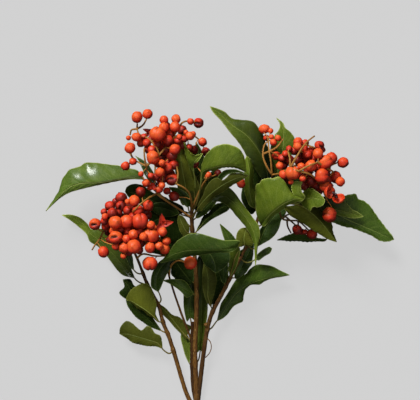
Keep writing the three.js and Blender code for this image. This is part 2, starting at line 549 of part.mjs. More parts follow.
// Sprays: shoots are the spray's stalks, each a list of places that ends in a fork with capsules round it.
// The front fruit lie on a dome, on tiers below each other; their places are [px, py, radius in px, tier].
// The back fruit have a height of their own: [px, py, radius in px, z].
const SPRAYS = {
  fruit_west: {
    dome: { centre: [128, 228], reach: [46, 46], middle: 46, height: 46 },
    shoots: [
      [[131.3, 247, 38.9], [129, 239, 50], [128, 229, 58]],
      [[129, 239, 50], [118, 233, 57], [107, 224, 60]],
      [[129, 239, 50], [141, 242, 58], [153, 243, 60]],
      [[128, 229, 58], [127, 214, 60], [124, 204, 56]],
      [[128, 229, 58], [138, 218, 62], [146, 208, 60]],
      [[107, 224, 60], [99, 240, 60], [92, 250, 58]],
    ],
    fruit: [
      [95, 224, 5.3, 0], [110, 206, 4.7, 1], [121, 197, 5.5, 1], [134, 201, 5, 0], [140, 191.5, 4.5, 1],
      [148, 206, 5, 0], [137, 210, 5.5, 0], [112, 214, 5, 0], [105, 217, 4, 0], [115.5, 222, 6.2, 0],
      [126.5, 222, 6.3, 0], [140, 222, 7.2, 0], [114, 232, 5.5, 0], [115, 239, 6.5, 0],
      [127, 231, 4.5, 0],
      [133, 236, 4.5, 0], [124, 247, 5, 0], [131, 245, 6.5, 0], [103, 252, 5, 0], [150, 236, 7.5, 0],
      [162, 232, 4, 0], [150, 248, 5, 0], [165, 249, 5, 0], [150, 264, 7, 0],
      [161, 214, 5, 1], [170, 224, 5, 1],
    ],
    back: [
      [112, 214, 5.5, 30], [128, 208, 5.5, 22], [142, 214, 5.5, 18], [150, 228, 5, 24],
      [133, 226, 5.5, 20],
      [110, 228, 5, 34], [146, 240, 5, 44],
    ],
  },
  fruit_north: {
    dome: { centre: [163, 152], reach: [48, 50], middle: 46, height: 46 },
    shoots: [
      [[155.6, 188, 42], [152, 178, 50], [148, 169, 56]],
      [[148, 169, 56], [140, 162, 58], [133, 159, 58]],
      [[152, 178, 50], [158, 166, 60], [161, 155, 64]],
      [[161, 155, 64], [150, 145, 64], [138, 131, 60]],
      [[161, 155, 64], [158, 142, 66], [156, 130, 62]],
      [[161, 155, 64], [171, 141, 62], [179, 127, 58]],
      [[152, 178, 50], [155, 166, 34], [156, 154, 22]],
      [[156, 154, 22], [166, 144, 18], [174, 138, 16]],
    ],
    fruit: [
      [137, 117, 5.5, 0], [147.5, 114, 5, 0], [164, 120, 4.3, 0], [176, 119, 4.2, 0], [191, 121, 3.3, 0],
      [199, 124, 5, 1], [136.5, 137, 4.3, 0], [164, 127, 5, 0], [157, 134, 7, 0], [149, 131, 4.5, 1],
      [141, 143, 4.5, 0], [130, 148, 5.3, 0], [151, 147, 4, 0], [153, 157, 6, 0], [165, 149, 6, 1],
      [168, 141, 5.5, 1], [175, 127, 4.5, 0], [170, 134, 4, 0],
      [125.5, 166, 4.3, 0], [134, 161, 4, 0], [160, 171, 4.2, 0], [146, 183, 4.3, 0],
      [158, 183, 5, 0],
    ],
    back: [
      [150, 150, 5.5, 6.54], [163, 158, 5.5, 10], [160, 140, 5.5, 8], [174, 142, 5.5, 8],
      [182, 130, 5, 20],
      [166, 126, 5, 18], [170, 160, 5, 14],
    ],
  },
  fruit_top: {
    dome: { centre: [163, 155], reach: [48, 50], middle: 46, height: 46 },
    shoots: [
      [[191.6, 206.5, 46.5], [191.3, 201, 60], [188.5, 192, 72], [182, 186.5, 79], [176, 182, 80]],
      [[176, 182, 80], [176, 171, 82], [174, 162, 82]],
    ],
    fruit: [
      [172, 179, 6.8, 0], [168, 168, 4.5, 0], [172, 160, 5, 0], [175, 149, 5, 0], [173, 196, 5.5, 1],
    ],
    back: [],
  },
  fruit_east: {
    dome: { centre: [306, 165], reach: [50, 54], middle: 46, height: 46 },
    shoots: [
      [[270, 188, 46], [271.5, 181, 56], [270.5, 171, 66], [266, 161, 70]],
      [[266, 161, 70], [265, 151, 72], [269, 141, 70]],
      [[271.5, 181, 56], [281, 176, 66], [291, 170, 70]],
      [[291, 170, 70], [289, 160, 72], [286, 152, 70]],
      [[291, 170, 70], [297, 156, 70], [305, 144, 66], [312, 138, 60]],
      [[291, 170, 70], [303, 171, 74], [316, 170, 74]],
      [[316, 170, 74], [328, 168, 70], [337, 163, 64]],
      [[303, 171, 74], [316, 179, 74], [329, 190, 66]],
      [[291, 170, 70], [300, 164, 48], [306, 160, 28]],
    ],
    fruit: [
      [265, 129, 5.5, 0], [273, 142, 4, 0], [283, 158, 5, 1],
      [277, 156, 4, 0], [298, 143.5, 4, 0], [304, 149, 4.5, 1],
      [319, 147, 4.5, 0], [318, 154, 5, 0], [330, 159, 6.5, 0], [325, 164, 6, 1],
      [343.5, 162.5, 5.2, 0], [309, 165, 5, 0], [289, 173, 6, 0], [295, 173, 6, 0], [283, 174, 4, 0],
      [322, 175, 7, 0], [336, 177, 5.5, 1], [340.5, 181.5, 4.2, 0], [327, 186, 5, 0],
      [337, 197, 6, 0], [330, 214.5, 7, 0], [311, 180, 4.5, 1],
    ],
    back: [
      [303, 158, 5.5, 6.54], [314, 152, 5.5, 10], [322, 164, 5.5, 14], [294, 150, 5.5, 14],
      [326, 176, 5.5, 24],
      [334, 170, 5, 36],
    ],
  },
  fruit_east_low: {
    dome: { centre: [300, 226], reach: [40, 40], middle: 16, height: 12 },
    shoots: [
      [[279, 206.3, 46.6], [280, 212, 42], [284, 218, 37], [296, 220, 32], [303, 226, 29]],
      [[284, 218, 37], [290, 222, 33], [297, 227, 30]],
    ],
    fruit: [[297, 229.5, 5, 0], [312, 234, 5.3, 0], [305, 232, 3, 0]],
    back: [],
  },
  fruit_single: {
    dome: { centre: [241, 184], reach: [40, 40], middle: 40, height: 16 },
    shoots: [[[261, 208, 44.7], [255, 199, 41], [249, 186, 41], [244, 177, 48]]],
    fruit: [[241, 183.5, 4.3, 0]],
    back: [],
  },
  fruit_low: {
    dome: { centre: [190, 263], reach: [40, 40], middle: 36, height: 20 },
    shoots: [[[169.2, 276, 33.2], [171.5, 266, 43], [176, 261, 50], [181, 260, 54], [186, 262, 56]]],
    fruit: [[190, 262.5, 6.8, 0]],
    back: [],
  },
};

// Where the capsules of a spray hang, with their radii in mm
function capsules({ dome, fruit, back }) {
  const front = fruit.map(([px, py, size, tier]) => {
    const away = (px - dome.centre[0]) / dome.reach[0];
    const along = (py - dome.centre[1]) / dome.reach[1];
    const bulge = Math.sqrt(Math.max(0.1, 1 - away ** 2 - along ** 2));
    const z = dome.middle + dome.height * bulge - SPRAY_TIER * tier;
    return { centre: at([px, py, z]), radius: size * PIXEL * CAPSULE_SWELL };
  });
  const hidden = back.map(([px, py, size, z]) => {
    return { centre: at([px, py, z]), radius: size * PIXEL * CAPSULE_SWELL };
  });
  return [...front, ...hidden];
}

// A spray in one piece: shoots, and capsules that each hang from the nearest fork on a stalk of its own
function spray(plan) {
  const curves = plan.shoots.map(smooth);
  const radii = [SPRAY_STALK_RADIUS, SPRAY_STALK_RADIUS * SPRAY_STALK_TAPER];
  const pieces = curves.map((curve) => stalk(curve, radii, SIDES.shoot, SHOOT_STEPS));
  const forks = curves.flatMap((curve) => FORK_SHARES.map((share) => curve.getPoint(share)));
  for (const { centre, radius } of capsules(plan)) {
    const fork = forks.reduce((best, point) =>
      point.distanceTo(centre) < best.distanceTo(centre) ? point : best,
    );
    const line = new THREE.LineCurve3(fork, centre);
    pieces.push(stalk(line, [FRUIT_STALK_RADIUS, FRUIT_STALK_RADIUS], SIDES.fruitStalk, 1));
    const ball = new THREE.SphereGeometry(radius, ...SIDES.capsule).rotateX(rad(90));
    pieces.push(solidOf(ball.translate(centre.x, centre.y, centre.z)));
  }
  return join(pieces);
}

const COLOURS = {
  wood: { color: 0x5a3e1c, roughness: 0.75 },
  leaf: { color: 0x3f5a1e, roughness: 0.35 },
  fruit: { color: 0xe8602c, roughness: 0.4 },
};

function piece(name, solid, colour) {
  const mesh = new THREE.Mesh(
    geometryOf(solid),
    new THREE.MeshStandardMaterial({ ...COLOURS[colour], metalness: 0 }),
  );
  mesh.name = name;
  return mesh;
}

const branch = new THREE.Group();
const aroundWood = wood(SEAT_GAP);
branch.add(piece("woody_stem", wood(0), "wood"));
for (const [name, plan] of Object.entries(LEAVES))
  branch.add(piece(`leaf_${name}`, mainBody(leaf(plan).subtract(aroundWood)), "leaf"));
for (const [name, plan] of Object.entries(SPRAYS))
  branch.add(piece(name, mainBody(spray(plan).subtract(aroundWood)), "fruit"));

export default branch;
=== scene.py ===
"""A cut pittosporum branch lying on a table: forked wood, glossy wavy leaves and sprays of orange capsules.

A place is (px, py, z): the pixel of a 420 by 400 photograph that looks straight down at the branch, and the
height above the table in mm. Meshes are in metres, where the CAD frame has them.
"""

import logging
import math
import random
from bisect import bisect_left
from collections.abc import Callable, Sequence
from dataclasses import dataclass, field
from enum import Enum

import bmesh
import bpy
from mathutils import Matrix, Vector, noise


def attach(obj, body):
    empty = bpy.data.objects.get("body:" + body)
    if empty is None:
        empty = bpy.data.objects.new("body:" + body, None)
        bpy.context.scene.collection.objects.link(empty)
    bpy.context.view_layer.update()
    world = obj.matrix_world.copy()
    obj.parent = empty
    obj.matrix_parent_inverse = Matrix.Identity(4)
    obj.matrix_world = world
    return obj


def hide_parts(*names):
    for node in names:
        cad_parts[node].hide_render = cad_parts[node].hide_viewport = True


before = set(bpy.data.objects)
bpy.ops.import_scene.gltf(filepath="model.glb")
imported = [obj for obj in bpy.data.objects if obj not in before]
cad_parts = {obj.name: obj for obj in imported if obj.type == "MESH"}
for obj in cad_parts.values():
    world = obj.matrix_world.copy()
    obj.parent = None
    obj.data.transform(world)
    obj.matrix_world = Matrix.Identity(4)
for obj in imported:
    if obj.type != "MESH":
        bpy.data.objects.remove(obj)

Place = tuple[float, float, float]
Pixel = tuple[float, float]
Girth = tuple[float, float, float, float]  # a place, and the wood's radius there in mm
Rgb = tuple[float, float, float]
BMesh = bmesh.types.BMesh
Material = bpy.types.Material
Socket = bpy.types.NodeSocket
Vert = bmesh.types.BMVert
# One row of a leaf's blade: its middle, the direction over it, and for each side its edge and its normal.
Row = tuple[Vector, Vector, list[tuple[Vector, Vector]]]

MM = 0.001
PIXEL = 1.1  # mm that one pixel covers at the branch's middle height
MIDDLE_HEIGHT = 45
EYE_HEIGHT = 1600  # mm from the table up to the camera
PHOTO_SIZE = (420, 400)
PHOTO_CENTRE = (210, 200)
ORIGIN_PIXEL = (219.7, 272.3)  # where the CAD frame's origin shows
UP = Vector((0, 0, 1))


def level(z: float) -> float:
    """Gives the mm that one pixel covers at height z."""
    return PIXEL * (EYE_HEIGHT - z) / (EYE_HEIGHT - MIDDLE_HEIGHT)


def at(px: float, py: float, z: float) -> Vector:
    """Gives the point at height z that shows at a pixel.

    Args:
        px: The pixel's column.
        py: The pixel's row.
        z: Height above the table in mm.

    Returns:
        The point in metres.
    """
    eye_x, eye_y = PHOTO_CENTRE
    x = (eye_x - ORIGIN_PIXEL[0]) * level(0) + (px - eye_x) * level(z)
    y = (ORIGIN_PIXEL[1] - eye_y) * level(0) - (py - eye_y) * level(z)
    return Vector((x, y, z)) * MM


def mix(low: float, high: float, share: float) -> float:
    """Gives the value at a share of the way from low to high."""
    return low + (high - low) * share


def trend(values: Sequence[float], share: float) -> float:
    """Gives the value at a share of the way along values that are spread evenly."""
    place = min(max(share, 0.0), 1.0) * (len(values) - 1)
    before = min(int(place), len(values) - 2)
    return mix(values[before], values[before + 1], place - before)


def bell(distance: float, width: float) -> float:
    """Gives 1 at no distance, falling off smoothly over a width."""
    return math.exp(-((distance / width) ** 2))


class Route:
    """A smooth line through points, walked by its length.

    Attributes:
        points: Points along the line, close together.
        marks: Length of the line up to each of those points.
    """

    STEPS = 16  # steps from one given point to the next
    NUDGE = 0.002  # share of the length over which a direction is measured

    def __init__(self, knots: Sequence[Vector]) -> None:
        """Draws a centripetal Catmull-Rom spline.

        Args:
            knots: The points that the line goes through.
        """
        ends = [2 * knots[0] - knots[1], *knots, 2 * knots[-1] - knots[-2]]
        self.points = [knots[0]]
        for a, b, c, d in zip(ends, ends[1:], ends[2:], ends[3:]):
            before, here, after = (max((q - p).length, 1e-6) ** 0.5 for p, q in ((a, b), (b, c), (c, d)))
            start = ((b - a) / before - (c - a) / (before + here) + (c - b) / here) * here
            stop = ((c - b) / here - (d - b) / (here + after) + (d - c) / after) * here
            for i in range(1, self.STEPS + 1):
                s = i / self.STEPS
                bend = (2 * s**3 - 3 * s**2 + 1) * b + (s**3 - 2 * s**2 + s) * start
                self.points.append(bend + (3 * s**2 - 2 * s**3) * c + (s**3 - s**2) * stop)
        self.marks = [0.0]
        for p, q in zip(self.points, self.points[1:]):
            self.marks.append(self.marks[-1] + (q - p).length)

    @classmethod
    def through(cls, places: Sequence[Sequence[float]]) -> "Route":
        """Draws a line through places of the photograph."""
        return cls([at(*place[:3]) for place in places])

    def point(self, share: float) -> Vector:
        """Gives the point at a share of the line's length."""
        goal = min(max(share, 0.0), 1.0) * self.marks[-1]
        after = min(max(bisect_left(self.marks, goal), 1), len(self.marks) - 1)
        low, high = self.marks[after - 1], self.marks[after]
        return self.points[after - 1].lerp(self.points[after], (goal - low) / (high - low))

    def direction(self, share: float) -> Vector:
        """Gives the line's direction at a share of its length."""
        low, high = max(share - self.NUDGE, 0.0), min(share + self.NUDGE, 1.0)
        return (self.point(high) - self.point(low)).normalized()


def add_tube(mesh: BMesh, points: Sequence[Vector], radii: Sequence[float], sides: int) -> list[Vert]:
    """Adds an open tube round a row of points.

    Args:
        mesh: The mesh that grows.
        points: The middle of each ring.
        radii: Radius of each ring in metres.
        sides: Corners of a ring.

    Returns:
        The tube's vertices, with the seam still to be merged.
    """
    steps = len(points) - 1
    rings = []
    side = Vector((0.3, 0.2, 1.0))
    for i in range(steps + 1):
        ahead = (points[min(i + 1, steps)] - points[max(i - 1, 0)]).normalized()
        side = (side - ahead * side.dot(ahead)).normalized()
        rings.append((points[i], side, ahead.cross(side), radii[i]))
    made = bmesh.ops.create_grid(mesh, x_segments=sides, y_segments=steps, size=1)["verts"]
    for vert in made:
        middle, across, over, radius = rings[round((vert.co.y + 1) / 2 * steps)]
        turn = (vert.co.x + 1) * math.pi
        vert.co = middle + (across * math.cos(turn) + over * math.sin(turn)) * radius
    return made


def close(mesh: BMesh) -> None:
    """Merges the seams of tubes, fills their ends and turns all faces outwards."""
    bmesh.ops.remove_doubles(mesh, verts=mesh.verts, dist=1e-6)
    rims = [edge for edge in mesh.edges if edge.is_boundary]
    bmesh.ops.holes_fill(mesh, edges=rims, sides=64)
    bmesh.ops.recalc_face_normals(mesh, faces=mesh.faces)


def add_piece(name: str, mesh: BMesh, finishes: Sequence[Material],
              nodes: Sequence[str]) -> bpy.types.Object:
    """Turns a mesh into a smooth piece that rides on the branch.

    Args:
        name: The piece's name.
        mesh: Its mesh, which is used up.
        finishes: Its materials.
        nodes: The CAD nodes that it stands for.

    Returns:
        The piece.
    """
    data = bpy.data.meshes.new(name)
    mesh.to_mesh(data)
    mesh.free()
    data.shade_smooth()
    piece = bpy.data.objects.new(name, data)
    bpy.context.scene.collection.objects.link(piece)
    for finish in finishes:
        data.materials.append(finish)
    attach(piece, "root")
    if nodes:
        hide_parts(*nodes)
    return piece


def linear(colour: Rgb) -> tuple[float, float, float, float]:
    """Turns a colour as seen, 0 to 255, into the linear values that shaders take."""
    shares = [value / 255 for value in colour]
    return (*(s / 12.92 if s <= 0.04045 else ((s + 0.055) / 1.055) ** 2.4 for s in shares), 1.0)


class Recipe:
    """The node tree of one material, with short calls for the nodes that the finishes use.

    Attributes:
        material: The material.
        tree: Its nodes.
        shader: Its Principled BSDF.
    """

    def __init__(self, name: str) -> None:
        """Starts a material.

        Args:
            name: The material's name.
        """
        self.material = bpy.data.materials.new(name)
        self.material.use_nodes = True
        self.tree = self.material.node_tree
        self.shader = self.tree.nodes["Principled BSDF"]

    def node(self, kind: str, inputs: dict, **settings: object) -> bpy.types.Node:
        """Adds a node.

        Args:
            kind: The node's type.
            inputs: Values or sockets for its inputs, by name or place.
            **settings: The node's own properties.

        Returns:
            The node.
        """
        made = self.tree.nodes.new(kind)
        for key, value in settings.items():
            setattr(made, key, value)
        for key, value in inputs.items():
            self.feed(made.inputs[key], value)
        return made

    def feed(self, socket: Socket, value: object) -> None:
        """Links a socket to another, or sets its value."""
        if isinstance(value, Socket):
            self.tree.links.new(value, socket)
        else:
            socket.default_value = value

    def set(self, **values: object) -> None:
        """Feeds the shader's sockets, named with underscores for spaces."""
        for key, value in values.items():
            self.feed(self.shader.inputs[key.replace("_", " ")], value)

    def place(self) -> Socket:
        """Gives the point in the piece's own space, in metres."""
        return self.node("ShaderNodeTexCoord", {}).outputs["Object"]

    def attribute(self, name: str) -> Socket:
        """Gives a number that the mesh holds at each vertex."""
        return self.node("ShaderNodeAttribute", {}, attribute_name=name).outputs["Fac"]

    def noise(self, vector: object, scale: float, detail: float = 3.0) -> Socket:
        """Gives a cloudy pattern from 0 to 1."""
        inputs = {"Vector": vector, "Scale": scale, "Detail": detail}
        return self.node("ShaderNodeTexNoise", inputs).outputs["Fac"]

    def maths(self, operation: str, a: object, b: object = 0.0) -> Socket:
        """Gives what an operation makes of one or two numbers."""
        return self.node("ShaderNodeMath", {0: a, 1: b}, operation=operation).outputs[0]

    def plus(self, a: object, b: object) -> Socket:
        """Gives a sum."""
        return self.maths("ADD", a, b)

    def times(self, a: object, b: object) -> Socket:
        """Gives a product."""
        return self.maths("MULTIPLY", a, b)

    def span(self, value: object, low: float, high: float, start: float = 0.0, stop: float = 1.0) -> Socket:
        """Gives start to stop smoothly as a value goes from low to high."""
        inputs = {"Value": value, "From Min": low, "From Max": high, "To Min": start, "To Max": stop}
        return self.node("ShaderNodeMapRange", inputs, interpolation_type="SMOOTHSTEP").outputs["Result"]

    def blend(self, share: object, a: object, b: object) -> Socket:
        """Gives a colour between two, each a socket or a colour as seen."""
        a, b = (linear(c) if isinstance(c, tuple) else c for c in (a, b))
        return self.node("ShaderNodeMix", {0: share, 6: a, 7: b}, data_type="RGBA").outputs[2]

    def bump(self, height: object, strength: float, depth: float) -> None:
        """Gives the surface a relief of a depth in metres."""
        inputs = {"Height": height, "Strength": strength, "Distance": depth}
        self.set(Normal=self.node("ShaderNodeBump", inputs).outputs["Normal"])


KEY = Vector((-0.4, 0.75, 0.75))  # where most of the light comes from
SHADE = (12, 20, 6)  # painted shade: the dark green that leaves and stalks are painted towards inside the branch


@dataclass(frozen=True)
class LeafFinish:
    """One face of a leaf: two greens in soft patches, a pale midrib and side veins, with painted shade.

    Attributes:
        name: The material's name.
        colour: The commoner green.
        patch: The green of the patches.
        vein: Colour of the midrib.
        gloss: Lowest roughness.
        relief: Depth of the veins in metres, positive where they stand out.
        polish: Weight of the waxy coat.
        blur: Roughness of the coat.
        shine: Strength of its reflections.
    """

    name: str
    colour: Rgb
    patch: Rgb
    vein: Rgb
    gloss: float
    relief: float
    polish: float = 0.14
    shine: float = 0.06
    blur: float = 0.13

    VEINS = 11.0  # pairs of side veins
    SWEEP = 0.16  # how far a side vein runs forward, as a share of the blade's length
    WANDER = 0.05  # how far a side vein strays, as a share of the blade's length
    CELLS = 520.0  # how fine the mesh of small veins is
    RIB = (0.045, 0.012)  # where the midrib's colour begins and is full, as shares of a half blade
    MARGIN = (1.1, 0.4)  # the same for the pale margin, in mm from the edge
    TINTS = (0.12, 0.12, 0.75, 0.55)  # vein colour in side veins, mesh, margin and midrib
    FLECK = (96, 82, 40)

    def side_veins(self, recipe: Recipe, across: Socket, side: Socket,
                   along: Socket) -> tuple[Socket, Socket]:
        """Draws the side veins.

        Args:
            recipe: The material.
            across: Place across the blade, from -0.5 to 0.5.
            side: How far that is from the midrib, from 0 to 1.
            along: Place along the blade, from 0 to 1.

        Returns:
            A ridge that rises to 0.5 at each vein, and the veins themselves as 0 to 1.
        """
        alternate = recipe.times(recipe.maths("GREATER_THAN", across), 0.5 / self.VEINS)
        wander = recipe.times(recipe.noise(recipe.place(), 160.0, 1.0), self.WANDER)
        forward = recipe.times(side, self.SWEEP)
        swept = recipe.maths("SUBTRACT", recipe.plus(along, alternate), forward)
        pace = recipe.times(recipe.plus(swept, wander), self.VEINS)
        ridge = recipe.maths("ABSOLUTE", recipe.maths("SUBTRACT", recipe.maths("FRACT", pace), 0.5))
        return ridge, recipe.times(recipe.span(ridge, 0.4, 0.5), recipe.span(side, 0.95, 0.3))

    def make(self) -> Material:
        """Builds the material."""
        recipe = Recipe(self.name)
        place = recipe.place()
        uv = recipe.node("ShaderNodeUVMap", {}, uv_map="blade").outputs[0]
        parts = recipe.node("ShaderNodeSeparateXYZ", {0: uv})
        across = recipe.maths("SUBTRACT", parts.outputs[0], 0.5)
        side = recipe.times(recipe.maths("ABSOLUTE", across), 2.0)
        ridge, veins = self.side_veins(recipe, across, side, parts.outputs[1])
        inputs = {"Vector": place, "Scale": self.CELLS}
        cells = recipe.node("ShaderNodeTexVoronoi", inputs, feature="DISTANCE_TO_EDGE")
        mesh = recipe.span(cells.outputs["Distance"], 0.14, 0.0)
        margin = recipe.span(recipe.attribute("margin"), *self.MARGIN)
        rib = recipe.span(side, *self.RIB)
        cloud = recipe.noise(place, 60.0)
        grain = recipe.noise(place, 900.0, 2.0)
        green = recipe.blend(recipe.span(cloud, 0.35, 0.7), self.colour, self.patch)
        for pattern, tint in zip((veins, mesh, margin, rib), self.TINTS):
            green = recipe.blend(recipe.times(pattern, tint), green, self.vein)
        fleck = recipe.span(recipe.noise(place, 420.0, 1.0), 0.72, 0.78, 0.0, 0.5)
        # painted shade: the dim attribute darkens the green towards SHADE
        green = recipe.blend(recipe.attribute("dim"), recipe.blend(fleck, green, self.FLECK), SHADE)
        pimples = recipe.times(grain, 0.22)
        swell = recipe.plus(recipe.times(ridge, -0.7), pimples)
        swell = recipe.plus(swell, recipe.times(cloud, 0.8))
        rough = recipe.span(grain, 0.3, 0.7, self.gloss, self.gloss + 0.14)
        recipe.set(Base_Color=green, Roughness=rough, Specular_IOR_Level=self.shine)
        recipe.set(Coat_Weight=self.polish, Coat_Roughness=self.blur)
        recipe.bump(recipe.maths("SUBTRACT", swell, rib), 0.6, self.relief)
        return recipe.material


class Tone(Enum):
    """How green the face of a leaf is that looks up."""

    FRESH = "fresh"
    GLOSSY = "glossy"
    MIDDLE = "middle"
    DEEP = "deep"
    SHADED = "shaded"
    OLIVE = "olive"


FRESH, GLOSSY, MIDDLE, DEEP, SHADED, OLIVE = Tone
# FRESH to SHADED darken: partly the leaves' own greens, partly painted light and shade; SHADED is painted
# shade
FACES = {
    FRESH: LeafFinish("leaf_fresh", (97, 115, 27), (74, 95, 18), (176, 186, 96), 0.4, 0.0007, 0.08),
    GLOSSY: LeafFinish("leaf_glossy", (82, 105, 28), (66, 92, 20), (176, 186, 106), 0.4, 0.0016,
                       polish=0.4, shine=0.12, blur=0.17),
    MIDDLE: LeafFinish("leaf_middle", (57, 80, 16), (46, 68, 11), (142, 158, 78), 0.4, 0.0007, 0.1),
    DEEP: LeafFinish("leaf_deep", (43, 67, 11), (33, 55, 8), (124, 140, 72), 0.44, 0.0006),
    SHADED: LeafFinish("leaf_shaded", (28, 44, 7), (18, 31, 4), (90, 104, 50), 0.5, 0.0005,
                       polish=0.0, shine=0.02),
    OLIVE: LeafFinish("leaf_olive", (85, 90, 22), (73, 78, 17), (132, 136, 62), 0.5, -0.0005,
                      polish=0.0, shine=0.06),
}
UNDERSIDES = {SHADED: SHADED, OLIVE: MIDDLE}  # the others are olive below


@dataclass(frozen=True)
class StalkFinish:
    """Skin of a leaf or fruit stalk, from a root colour to a tip colour, with painted shade.

    Attributes:
        name: The material's name.
        root: Colour at the root.
        tip: Colour at the end.
    """

    name: str
    root: Rgb
    tip: Rgb

    def make(self) -> Material:
        """Builds the material."""
        recipe = Recipe(self.name)
        place = recipe.place()
        cloud = recipe.noise(place, 350.0)
        patchy = recipe.plus(recipe.attribute("share"), recipe.maths("SUBTRACT", cloud, 0.5))
        skin = recipe.blend(recipe.span(patchy, 0.1, 0.9), self.root, self.tip)
        # painted shade: the dim attribute darkens the stalk towards SHADE
        skin = recipe.blend(recipe.attribute("dim"), skin, SHADE)
        recipe.set(Base_Color=skin, Roughness=recipe.span(cloud, 0.3, 0.7, 0.5, 0.65))
        recipe.set(Specular_IOR_Level=0.2)
        recipe.bump(recipe.noise(place, 1400.0), 0.4, 0.0004)
        return recipe.material


@dataclass(frozen=True)
class BarkFinish:
    """Brown bark with lengthwise streaks, grey bloom and pale raised pores, and painted shade under the
    leaves.
    """

    name: str = "bark"
    colour: Rgb = (106, 72, 28)
    streak: Rgb = (70, 42, 16)
    bloom: Rgb = (128, 92, 42)
    pore: Rgb = (160, 124, 70)
    # painted shade: the dark brown that the bark is painted towards under the leaves
    shade: Rgb = (34, 18, 6)

    STREAKED = (1.0, 0.16, 1.0)  # scale of a pattern that is drawn out along the stems
    OVAL = (1.0, 0.5, 1.0)  # scale of one whose spots are twice as long as wide

    def make(self) -> Material:
        """Builds the material."""
        recipe = Recipe(self.name)
        place = recipe.place()
        streaked = recipe.node("ShaderNodeMapping", {"Vector": place, "Scale": self.STREAKED}).outputs[0]
        oval = recipe.node("ShaderNodeMapping", {"Vector": place, "Scale": self.OVAL}).outputs[0]
        streaks = recipe.noise(streaked, 900.0, 4.0)
        cloud = recipe.noise(place, 70.0)
        spots = recipe.node("ShaderNodeTexVoronoi", {"Vector": oval, "Scale": 300.0}).outputs["Distance"]
        pores = recipe.span(spots, 0.24, 0.14)
        brown = recipe.blend(recipe.span(streaks, 0.35, 0.65), self.streak, self.colour)
        brown = recipe.blend(recipe.span(cloud, 0.45, 0.75, 0.0, 0.7), brown, self.bloom)
        brown = recipe.blend(recipe.times(pores, 0.55), brown, self.pore)
        # painted shade: the dim attribute darkens the bark towards shade
        brown = recipe.blend(recipe.attribute("dim"), brown, self.shade)
        height = recipe.plus(streaks, recipe.times(pores, 0.8))
        recipe.set(Base_Color=brown, Roughness=recipe.span(streaks, 0.3, 0.7, 0.6, 0.85))
        recipe.set(Specular_IOR_Level=0.15)
        recipe.bump(height, 0.7, 0.0006)
        return recipe.material


@dataclass(frozen=True)
class CutFinish:
    """Fresh-cut wood: pale, with rings round the pith."""

    name: str = "cut_wood"
    colour: Rgb = (196, 166, 112)
    ring: Rgb = (150, 116, 70)

    def make(self) -> Material:
        """Builds the material."""
        recipe = Recipe(self.name)
        end = at(*Wood.BUTT[0][:3])
        centred = recipe.node("ShaderNodeMapping", {"Vector": recipe.place(), "Location": -end}).outputs[0]
        rings = recipe.node("ShaderNodeTexWave", {"Vector": centred, "Scale": 300.0, "Distortion": 2.0},
                            wave_type="RINGS", rings_direction="Y").outputs["Fac"]
        recipe.set(Base_Color=recipe.blend(rings, self.ring, self.colour), Roughness=0.8)
        recipe.bump(recipe.noise(recipe.place(), 1500.0), 0.5, 0.0004)
        return recipe.material


@dataclass(frozen=True)
class CapsuleFinish:
    """Satin capsule skin, from orange to deep red, dark in its seam and finely wrinkled, partly painted
    shade.
    """

    name: str = "capsule_skin"
    orange: Rgb = (218, 88, 36)
    red: Rgb = (192, 48, 22)
    deep: Rgb = (104, 19, 8)
    seam: Rgb = (40, 6, 3)

    def make(self) -> Material:
        """Builds the material."""
        recipe = Recipe(self.name)
        place = recipe.place()
        cloud = recipe.noise(place, 220.0)
        reddening = recipe.plus(recipe.attribute("ripeness_and_shade"), recipe.times(cloud, 0.5))
        # the capsule's own ripeness and its painted shade both redden it
        skin = recipe.blend(recipe.span(reddening, 0.15, 0.8), self.orange, self.red)
        skin = recipe.blend(recipe.span(reddening, 0.85, 1.4), skin, self.deep)
        # painted shade: darker in the seam's groove and in a split capsule's open mouth
        skin = recipe.blend(recipe.span(recipe.attribute("seam"), 0.25, 0.9, 0.0, 0.9), skin, self.seam)
        dots = recipe.span(recipe.noise(place, 1300.0, 1.0), 0.7, 0.78, 0.0, 0.25)
        skin = recipe.blend(dots, skin, self.deep)
        wrinkles = recipe.plus(recipe.noise(place, 900.0), recipe.noise(place, 300.0))
        recipe.set(Base_Color=skin, Roughness=recipe.span(cloud, 0.3, 0.7, 0.45, 0.6))
        recipe.set(Specular_IOR_Level=0.26, Coat_Weight=0.06, Coat_Roughness=0.3)
        recipe.set(Subsurface_Weight=0.1, Subsurface_Scale=0.002)
        recipe.bump(wrinkles, 0.3, 0.0004)
        return recipe.material


@dataclass(frozen=True)
class SeedFinish:
    """Sticky seeds, nearly black."""

    name: str = "seed"
    colour: Rgb = (74, 14, 12)
    dark: Rgb = (30, 7, 7)

    def make(self) -> Material:
        """Builds the material."""
        recipe = Recipe(self.name)
        cloud = recipe.noise(recipe.place(), 500.0)
        recipe.set(Base_Color=recipe.blend(cloud, self.dark, self.colour), Roughness=0.35, Coat_Weight=0.2)
        recipe.bump(cloud, 0.4, 0.0004)
        return recipe.material


